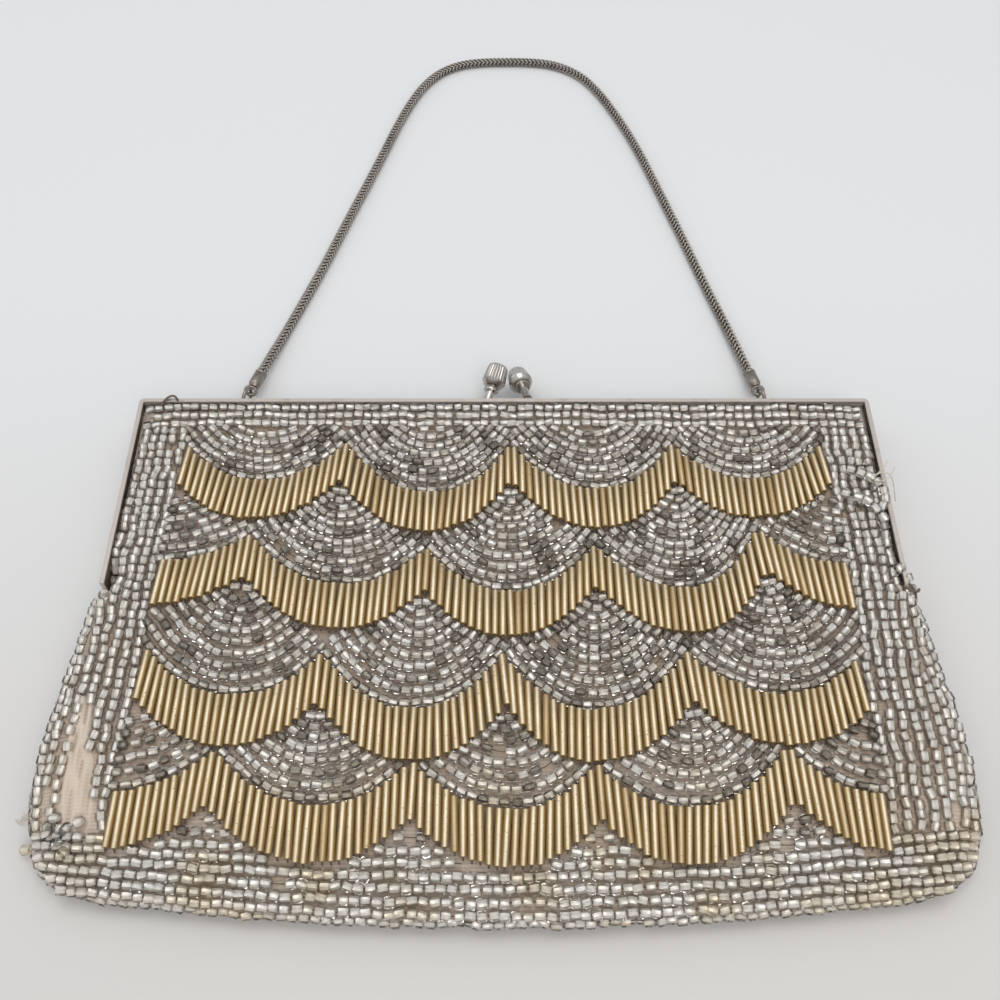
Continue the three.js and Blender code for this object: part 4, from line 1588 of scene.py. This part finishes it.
@dataclass
class KissLock:
    """The two fluted knobs that snap past each other."""

    nickel: bpy.types.Material
    edge_y: float
    clearance: float = 0.3
    boss_height: float = 0.6
    post_radius: float = 1.15
    neck: float = 6.3
    radius: float = 3.4
    length: float = 8.3
    flutes: int = 20
    flute_depth: float = 0.075
    smooth_angle: float = 38.0
    around: int = 120
    knobs: tuple[Knob, ...] = (
        Knob("clasp_knob_back", -5.6, 4.2, (0.29, 0.91, 0.28)),
        Knob("clasp_knob_front", 6.6, 10.2, (-0.2, 0.9, -0.38)),
    )
    # Shares of the knob's radius and length, and how deep the flutes are there.
    profile: tuple[Triple, ...] = (
        (0.59, 0.0, 0), (0.61, 0.012, 0), (0.61, 0.088, 0), (0.59, 0.1, 0), (0.45, 0.118, 0),
        (0.44, 0.17, 0), (0.72, 0.18, 0), (0.76, 0.19, 0), (0.97, 0.325, 0), (0.995, 0.345, 0),
        (0.99, 0.36, 0.7), (0.97, 0.42, 1), (0.9, 0.68, 1), (0.85, 0.86, 1), (0.83, 0.89, 0.5),
        (0.77, 0.93, 0), (0.68, 0.962, 0), (0.5, 0.985, 0), (0.25, 0.997, 0), (0.01, 1.0, 0),
    )

    def build(self, knob: Knob) -> bpy.types.Object:
        """Makes one knob on its post.

        Args:
            knob: where it stands and how it leans.

        Returns:
            The knob.
        """
        angles = np.arange(self.around) * 2 * math.pi / self.around
        groove = np.abs(np.sin(angles * self.flutes / 2))
        profile = [(0.02, 0.0, 0.0), (self.post_radius, 0.0, 0.0), (self.post_radius, self.neck, 0.0)]
        profile += [
            (share * self.radius, self.neck + along * self.length, depth * self.flute_depth)
            for share, along, depth in self.profile
        ]
        rings = []
        for radius, height, depth in profile:
            wide = radius * (1 - depth * (1 - groove))
            level = np.full(self.around, height)
            rings.append(np.column_stack([wide * np.cos(angles), wide * np.sin(angles), level]))
        lean = Vector(knob.lean).normalized()
        seat = self.boss_height + self.clearance + self.post_radius * math.sqrt(1 - lean.y**2)
        origin = np.array([knob.across, self.edge_y + seat, knob.height])
        mesh = skin_rings(knob.name, place_rings(np.array(rings), lean, origin) * MM)
        mesh.set_sharp_from_angle(angle=math.radians(self.smooth_angle))
        return join_meshes("fluted_" + knob.name, [(mesh, self.nickel)])


@dataclass
class ChainHandle:
    """The woven chain with its caps and the links that hold it to the frame's ears."""

    nickel: bpy.types.Material
    fitting: bpy.types.Material
    core_shade: bpy.types.Material
    edge_y: float
    clearance: float = 0.3
    spread: float = 73.2
    reach: float = 160.1
    ear_radius: float = 2.9
    ear_wire: float = 0.6
    ear_sink: float = 0.5
    ear_height: float = 4.4
    link_radius: float = 2.5
    link_wire: float = 0.5
    eye_radius: float = 1.5
    eye_wire: float = 0.5
    cap_radius: float = 1.75
    cap_mouth: float = 1.15
    cap_shoulder: float = 0.9
    cap_length: float = 6.0
    radius: float = 1.45
    lift: float = 0.05
    loop_pitch: float = 1.44
    loop_wire: float = 0.3
    loop_rise: float = 1.15
    loop_columns: int = 4
    pulls: tuple[Triple, ...] = ((0.27, 0.957, -0.12), (-0.2, 0.972, -0.12))
    # Shares of the spread and of the reach, and the height above the surface.
    route: tuple[Triple, ...] = (
        (-0.896, 0.194, 0.15), (-0.836, 0.275, 0.0), (-0.775, 0.359, 0.0), (-0.719, 0.443, 0.0),
        (-0.663, 0.528, 0.0), (-0.604, 0.615, 0.0), (-0.545, 0.706, 0.0), (-0.493, 0.787, 0.0),
        (-0.441, 0.856, 0.0), (-0.378, 0.918, 0.0), (-0.301, 0.962, 0.0), (-0.208, 0.988, 0.0),
        (-0.101, 0.998, 0.0), (0.014, 1.0, 0.0), (0.116, 0.999, 0.0), (0.213, 0.993, 0.0),
        (0.302, 0.976, 0.0), (0.386, 0.944, 0.0), (0.46, 0.892, 0.0), (0.528, 0.824, 0.0),
        (0.587, 0.754, 0.0), (0.638, 0.681, 0.0), (0.684, 0.606, 0.0), (0.728, 0.531, 0.0),
        (0.775, 0.452, 0.0), (0.818, 0.375, 0.0), (0.861, 0.3, 0.05), (0.904, 0.228, 0.35),
    )

    def __post_init__(self) -> None:
        """Works out how far along its pull each fitting lies."""
        self.link_at = self.link_radius - self.link_wire - self.ear_wire - self.clearance
        inner = self.link_radius - self.link_wire - self.eye_wire - self.clearance
        self.eye_at = self.link_at + inner + self.eye_radius
        self.cap_at = self.eye_at + self.eye_radius - self.eye_wire / 5
        self.chain_at = self.cap_at + self.cap_length + self.clearance

    def _pull(self, side: Side) -> Vector:
        """The direction in which the chain leaves an ear."""
        return Vector(self.pulls[0 if side is Side.LEFT else 1]).normalized()

    def _at(self, side: Side, distance: float) -> np.ndarray:
        """The point at a distance from an ear's wire along its pull."""
        ear_y = self.edge_y + 2 * self.ear_radius - self.ear_sink
        wire = np.array([side.value * self.spread, ear_y, self.ear_height])
        return wire + distance * np.array(self._pull(side))

    def _ring(self, radius: float, wire: float, steps: int, around: int) -> np.ndarray:
        """A closed ring of wire in the plane of X and Z, round the origin."""
        angles = np.arange(steps) * 2 * math.pi / steps
        rings = []
        for angle in angles:
            out = np.array([math.cos(angle), 0, math.sin(angle)])
            turns = np.arange(around) * 2 * math.pi / around
            section = np.outer(np.cos(turns), out) + np.outer(np.sin(turns), (0, 1, 0))
            rings.append(out * radius + wire * section)
        return np.array(rings)

    def link(self, side: Side) -> bpy.types.Object:
        """Makes the link through one ear."""
        pull = self._pull(side)
        turn = Vector((0, 1, 0)).rotation_difference(Vector((pull.y, -pull.x, 0)).normalized())
        rings = self._ring(self.link_radius, self.link_wire, 32, 10) @ np.array(turn.to_matrix()).T
        mesh = skin_rings("link", (rings + self._at(side, self.link_at)) * MM, loop=True)
        return join_meshes(f"jump_ring_{side.name.lower()}", [(mesh, self.fitting)])

    def cap(self, side: Side) -> bpy.types.Object:
        """Makes one end cap with its eye."""
        pull, length = self._pull(side), self.cap_length
        profile = [
            (0.02, 0.0),
            (self.cap_mouth * 0.9, 0.0),
            (self.cap_mouth, 0.1),
            (self.cap_radius - 0.12, self.cap_shoulder),
            (self.cap_radius, self.cap_shoulder + 0.25),
            (self.cap_radius, length - 1.0),
            (self.cap_radius - 0.14, length - 0.9),
            (self.cap_radius - 0.14, length - 0.6),
            (self.cap_radius, length - 0.5),
            (self.cap_radius, length - 0.1),
            (self.cap_radius - 0.15, length),
            (0.02, length),
        ]
        body = place_rings(lathe_rings(profile, 24), pull, self._at(side, self.cap_at))
        eye_turn = np.array(Vector((0, 0, 1)).rotation_difference(pull).to_matrix())
        eye = self._ring(self.eye_radius, self.eye_wire, 24, 8) @ eye_turn.T + self._at(side, self.eye_at)
        parts = [
            (skin_rings("cap", body * MM), self.fitting),
            (skin_rings("eye", eye * MM, loop=True), self.fitting),
        ]
        return join_meshes(f"end_cap_{side.name.lower()}", parts)

    def _line(self) -> np.ndarray:
        """The chain's middle line from cap to cap, as a smooth curve in millimetres."""
        lies = self.radius * math.cos(math.pi / 8) + self.lift
        points = [self._at(Side.LEFT, self.chain_at), self._at(Side.LEFT, self.chain_at + 3 * self.radius)]
        for across, up, lift in self.route:
            points.append(np.array([across * self.spread, self.edge_y + up * self.reach, lies + lift]))
        points += [self._at(Side.RIGHT, self.chain_at + 3 * self.radius), self._at(Side.RIGHT, self.chain_at)]
        knots = np.array(points)
        gaps = np.sqrt(np.linalg.norm(np.diff(knots, axis=0), axis=1))
        times = np.concatenate([[0], np.cumsum(gaps)])
        return smooth_line(knots, times, 24)

    def _loop_prototype(self) -> bpy.types.Object:
        """Makes one bent wire of the weave, a V that lies round the chain's surface."""
        reach = self.radius - self.loop_wire
        half = math.pi / self.loop_columns
        angles = np.linspace(-half, half, 7)
        rise = self.loop_rise * np.abs(angles) / half
        path = np.column_stack([reach * np.cos(angles), reach * np.sin(angles), rise - self.loop_rise / 2])
        mesh = skin_rings("chain_loop", wire_rings(path, self.loop_wire, 5) * MM)
        return join_meshes("chain_loop", [(mesh, self.nickel)])

    def chain(self, name: str) -> bpy.types.Object:
        """Makes the woven chain.

        Args:
            name: the piece's name.

        Returns:
            The chain.
        """
        prototype = self._loop_prototype()
        tree = GeometryTree(name)
        pitch = tree.size("Loop pitch", self.loop_pitch / self.loop_columns * MM)
        quarter = tree.size("Turn from loop to loop", 2 * math.pi / self.loop_columns)
        core = tree.size("Core radius", self.radius * 0.5 * MM)
        curve = tree.out("GeometryNodeMeshToCurve", {"Mesh": tree.geometry})
        strung = tree.add("GeometryNodeCurveToPoints", {"Curve": curve, "Length": pitch}, mode="LENGTH")
        order = tree.out("GeometryNodeInputIndex")
        turn = tree.out("ShaderNodeCombineXYZ", {"Z": tree.math("MULTIPLY", order, quarter)})
        turned = tree.turn(strung.outputs["Rotation"], turn)
        loops = tree.copies(prototype, strung.outputs["Points"], Rotation=turned)
        real = tree.out("GeometryNodeRealizeInstances", {"Geometry": loops})
        # The core wire is painted near-black as the shade deep inside the weave.
        middle = tree.wire(curve, core, 6, self.core_shade)
        result = tree.join(middle, tree.paint(real, self.nickel))
        piece = tree.run(polylines_mesh(name, [self._line() * MM]), result, name)
        bpy.data.objects.remove(prototype)
        return piece


@dataclass
class Studio:
    """Pale floor, soft light and the camera at the photograph's angle."""

    elevation: float = 58.0
    lens: float = 39.21
    sensor: float = 36.0
    # From the middle of the frame's top edge, in millimetres.
    camera_x: float = -1.1
    camera_back: float = 182.2
    camera_height: float = 251.0
    floor_size: float = 4.0
    # Painted light falloff: the floor is lighter and bluer far off, darker and warmer near the camera.
    floor_far_lit: Colour = (0.755, 0.765, 0.78)
    floor_near_shaded: Colour = (0.665, 0.645, 0.63)
    # Heights of the sky from the horizon to overhead, as the sine of the angle, with its brightness.
    sky: tuple[tuple[float, float], ...] = ((0.0, 0.42), (0.35, 0.58), (0.75, 0.78), (1.0, 0.9))
    sky_colour: Colour = (0.965, 0.985, 1.0)

    def build_camera(self, form: BagForm) -> None:
        """Places the camera."""
        data = bpy.data.cameras.new("camera")
        data.lens = self.lens
        data.sensor_width = self.sensor
        camera = bpy.data.objects.new("camera", data)
        camera.location = Vector((self.camera_x, form.edge_y - self.camera_back, self.camera_height)) * MM
        camera.rotation_euler = (math.radians(90 - self.elevation), 0, 0)
        bpy.context.scene.collection.objects.link(camera)
        bpy.context.scene.camera = camera

    def build_floor(self) -> None:
        """Makes the floor, with painted light falloff: lighter and bluer far off, darker and warmer towards
        the camera.
        """
        half = self.floor_size / 2
        mesh = bpy.data.meshes.new("floor")
        corners = [(-half, -half, 0), (half, -half, 0), (half, half, 0), (-half, half, 0)]
        mesh.from_pydata(corners, [], [(0, 1, 2, 3)])
        floor = mesh_object("floor", mesh)
        tree = MaterialTree("pale_floor")
        colour = tree.mix(tree.along(1, 0.06, -0.19), self.floor_far_lit, self.floor_near_shaded)
        mesh.materials.append(tree.finish(Base_Color=colour, Roughness=0.75, Specular_IOR_Level=0.2))

    def build_sky(self) -> None:
        """Makes a sky that is bright overhead and dim at the horizon."""
        world = bpy.data.worlds.new("studio_sky")
        world.use_nodes = True
        tree = TreeBuilder(world.node_tree)
        world.node_tree.nodes.clear()
        direction = tree.add("ShaderNodeTexCoord").outputs["Generated"]
        height = tree.add("ShaderNodeSeparateXYZ", {0: direction}).outputs["Z"]
        ramp = tree.add("ShaderNodeValToRGB", {0: height})
        elements = ramp.color_ramp.elements
        while len(elements) < len(self.sky):
            elements.new(0.5)
        for element, (position, light) in zip(elements, self.sky):
            element.position = position
            element.color = (*(light * channel for channel in self.sky_colour), 1.0)
        background = tree.add("ShaderNodeBackground", {"Color": ramp.outputs["Color"], "Strength": 1.0})
        output = tree.add("ShaderNodeOutputWorld")
        world.node_tree.links.new(background.outputs[0], output.inputs["Surface"])
        bpy.context.scene.world = world

    def build_light(self) -> None:
        """Makes the soft lights."""
        self._panel("overhead", (0.0, 0.15, 1.1), (0.8, 0.5), 2.5, (1.0, 0.99, 0.97))
        self._panel("window", (-1.0, 0.35, 0.7), (0.6, 0.6), 0.8, (0.88, 0.94, 1.0))
        self._panel("lamp", (0.2, -0.7, 0.8), (0.4, 0.4), 1.6, (1.0, 0.9, 0.79))

    @staticmethod
    def _panel(
        name: str,
        place: Triple,
        size: tuple[float, float],
        power: float,
        colour: Colour,
    ) -> None:
        """Adds an area light that faces the purse."""
        data = bpy.data.lights.new(name, "AREA")
        data.shape = "RECTANGLE"
        data.size, data.size_y = size
        data.energy = power
        data.color = colour
        light = bpy.data.objects.new(name, data)
        light.location = place
        light.rotation_euler = (-Vector(place)).to_track_quat("-Z", "Y").to_euler()
        bpy.context.scene.collection.objects.link(light)

    def build(self, form: BagForm) -> None:
        """Makes the whole studio."""
        self.build_camera(form)
        self.build_floor()
        self.build_sky()
        self.build_light()
        bpy.context.scene.view_settings.view_transform = "Standard"


def keep(piece: bpy.types.Object, slot: Slot, *nodes: str) -> None:
    """Hands a finished piece to the frame.

    Args:
        piece: the piece.
        slot: the record's slot for this piece's finish; it is not used.
        *nodes: the solids that it stands for.
    """
    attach(piece, BODY)
    if nodes:
        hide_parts(*nodes)
    faces = sum(len(face.vertices) - 2 for face in piece.data.polygons)
    log.info("%s: %d triangles", piece.name, faces)


def main() -> None:
    """Builds the purse in order."""
    logging.basicConfig(level=logging.INFO, format="%(message)s")
    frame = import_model()
    form = BagForm()
    Studio().build(form)
    layout = BandLayout(form)
    worn = WornPatch()
    rows = BeadRows(form, layout, worn)
    beads = SeedBeads(BeadGlass().material(), BeadLining().material(), Thread().material())
    cloth = ClothBag(form, RibbedCloth().material()).build("cloth_bag")
    keep(cloth, Slot.SEED_BEADS, "beaded_bag")
    dull = replace(beads, tones=(-0.04, 0.66))
    keep(dull.string("seed_beads_fans", rows.fans(), form.edge_y, 11), Slot.SEED_BEADS)
    cotton = Thread("pale_thread", (0.62, 0.54, 0.43), (0.72, 0.65, 0.54))
    bare = RibbedCloth(
        "bare_cloth", light=(0.70, 0.62, 0.53), dark=(0.56, 0.47, 0.39), stain=(0.66, 0.55, 0.42)
    )
    ends = LooseEnds(form, worn, cotton.material(), beads.thread, bare.material())
    keep(ends.patch("bare_cloth_patch"), Slot.SEED_BEADS)
    keep(ends.threads("frayed_threads"), Slot.SEED_BEADS)
    borders = replace(beads, tones=(0.26, 1.0), wander=2.3, tilt=12.0, radius=1.32)
    sides = rows.top_edge() + rows.borders()
    keep(borders.string("seed_beads_borders", sides, form.edge_y, 12), Slot.SEED_BEADS)
    # Painted light: the bottom rows get a lighter, less metallic copy of the lining and brighter tones, as if
    # the bottom edge caught more light.
    lit_lining = BeadLining("bright_bead_lining", worn=(0.93, 0.88, 0.80), metallic=0.35, roughness=0.3)
    edge = replace(beads, lining=lit_lining.material(), tones=(0.5, 1.0), wander=1.6, tilt=12.0, radius=1.3)
    low = rows.bottom() + rows.seam() + ends.strings()
    keep(edge.string("seed_beads_bottom", low, form.edge_y, 14), Slot.SEED_BEADS)
    coarse = replace(beads, sides=6, core_sides=4, radius=1.28, tilt=2.0)
    back = rows.back()
    half = len(back) // 2
    keep(coarse.string("seed_beads_back_upper", back[:half], form.edge_y, 13), Slot.SEED_BEADS)
    keep(coarse.string("seed_beads_back_lower", back[half:], form.edge_y, 15), Slot.SEED_BEADS)
    tubes = TubeBeads(form, layout, TubeGlass().material(), beads.thread)
    for order in range(len(layout.bands)):
        name = f"tube_beads_{order + 1}"
        keep(tubes.sew(name, order, 20 + order), Slot.TUBE_BEADS, f"tube_bead_band_{order + 1}")
    # Dark nickel for the frame's inner walls: tarnish with painted shade.
    tarnish_and_shade = AgedNickel(
        "tarnished_nickel", plate=(0.17, 0.145, 0.125), dull=(0.08, 0.065, 0.055), roughness=(0.4, 0.65)
    )
    square = SquareFrame(AgedNickel("frame_nickel").material(), tarnish_and_shade.material())
    for node in ("frame_front", "frame_back", "hinge_rivet_left", "hinge_rivet_right"):
        keep(square.soften(frame["nodes"][node], "soft_edged_" + node), Slot.FRAME, node)
    polished = AgedNickel(
        "clasp_nickel",
        plate=(0.5, 0.475, 0.445),
        dull=(0.2, 0.165, 0.135),
        roughness=(0.12, 0.28),
        spots=0.55,
    )
    lock = KissLock(polished.material(), form.edge_y)
    for knob in lock.knobs:
        keep(lock.build(knob), Slot.CLASP, knob.name)
    warm = AgedNickel(
        "chain_nickel", plate=(0.42, 0.38, 0.345), dull=(0.16, 0.14, 0.12), roughness=(0.26, 0.5)
    )
    # Near-black for the chain's core: painted shade inside the weave.
    core_shade = Thread("chain_grime", (0.06, 0.05, 0.042), (0.11, 0.09, 0.075))
    fitting = AgedNickel(
        "fitting_nickel", plate=(0.3, 0.265, 0.235), dull=(0.1, 0.085, 0.07), roughness=(0.2, 0.42)
    )
    handle = ChainHandle(warm.material(), fitting.material(), core_shade.material(), form.edge_y)
    for side in Side:
        keep(handle.link(side), Slot.CHAIN, f"chain_link_{side.name.lower()}")
        keep(handle.cap(side), Slot.CHAIN, f"chain_cap_{side.name.lower()}")
    keep(handle.chain("woven_chain"), Slot.CHAIN, "chain")


if __name__ == "__main__":
    main()
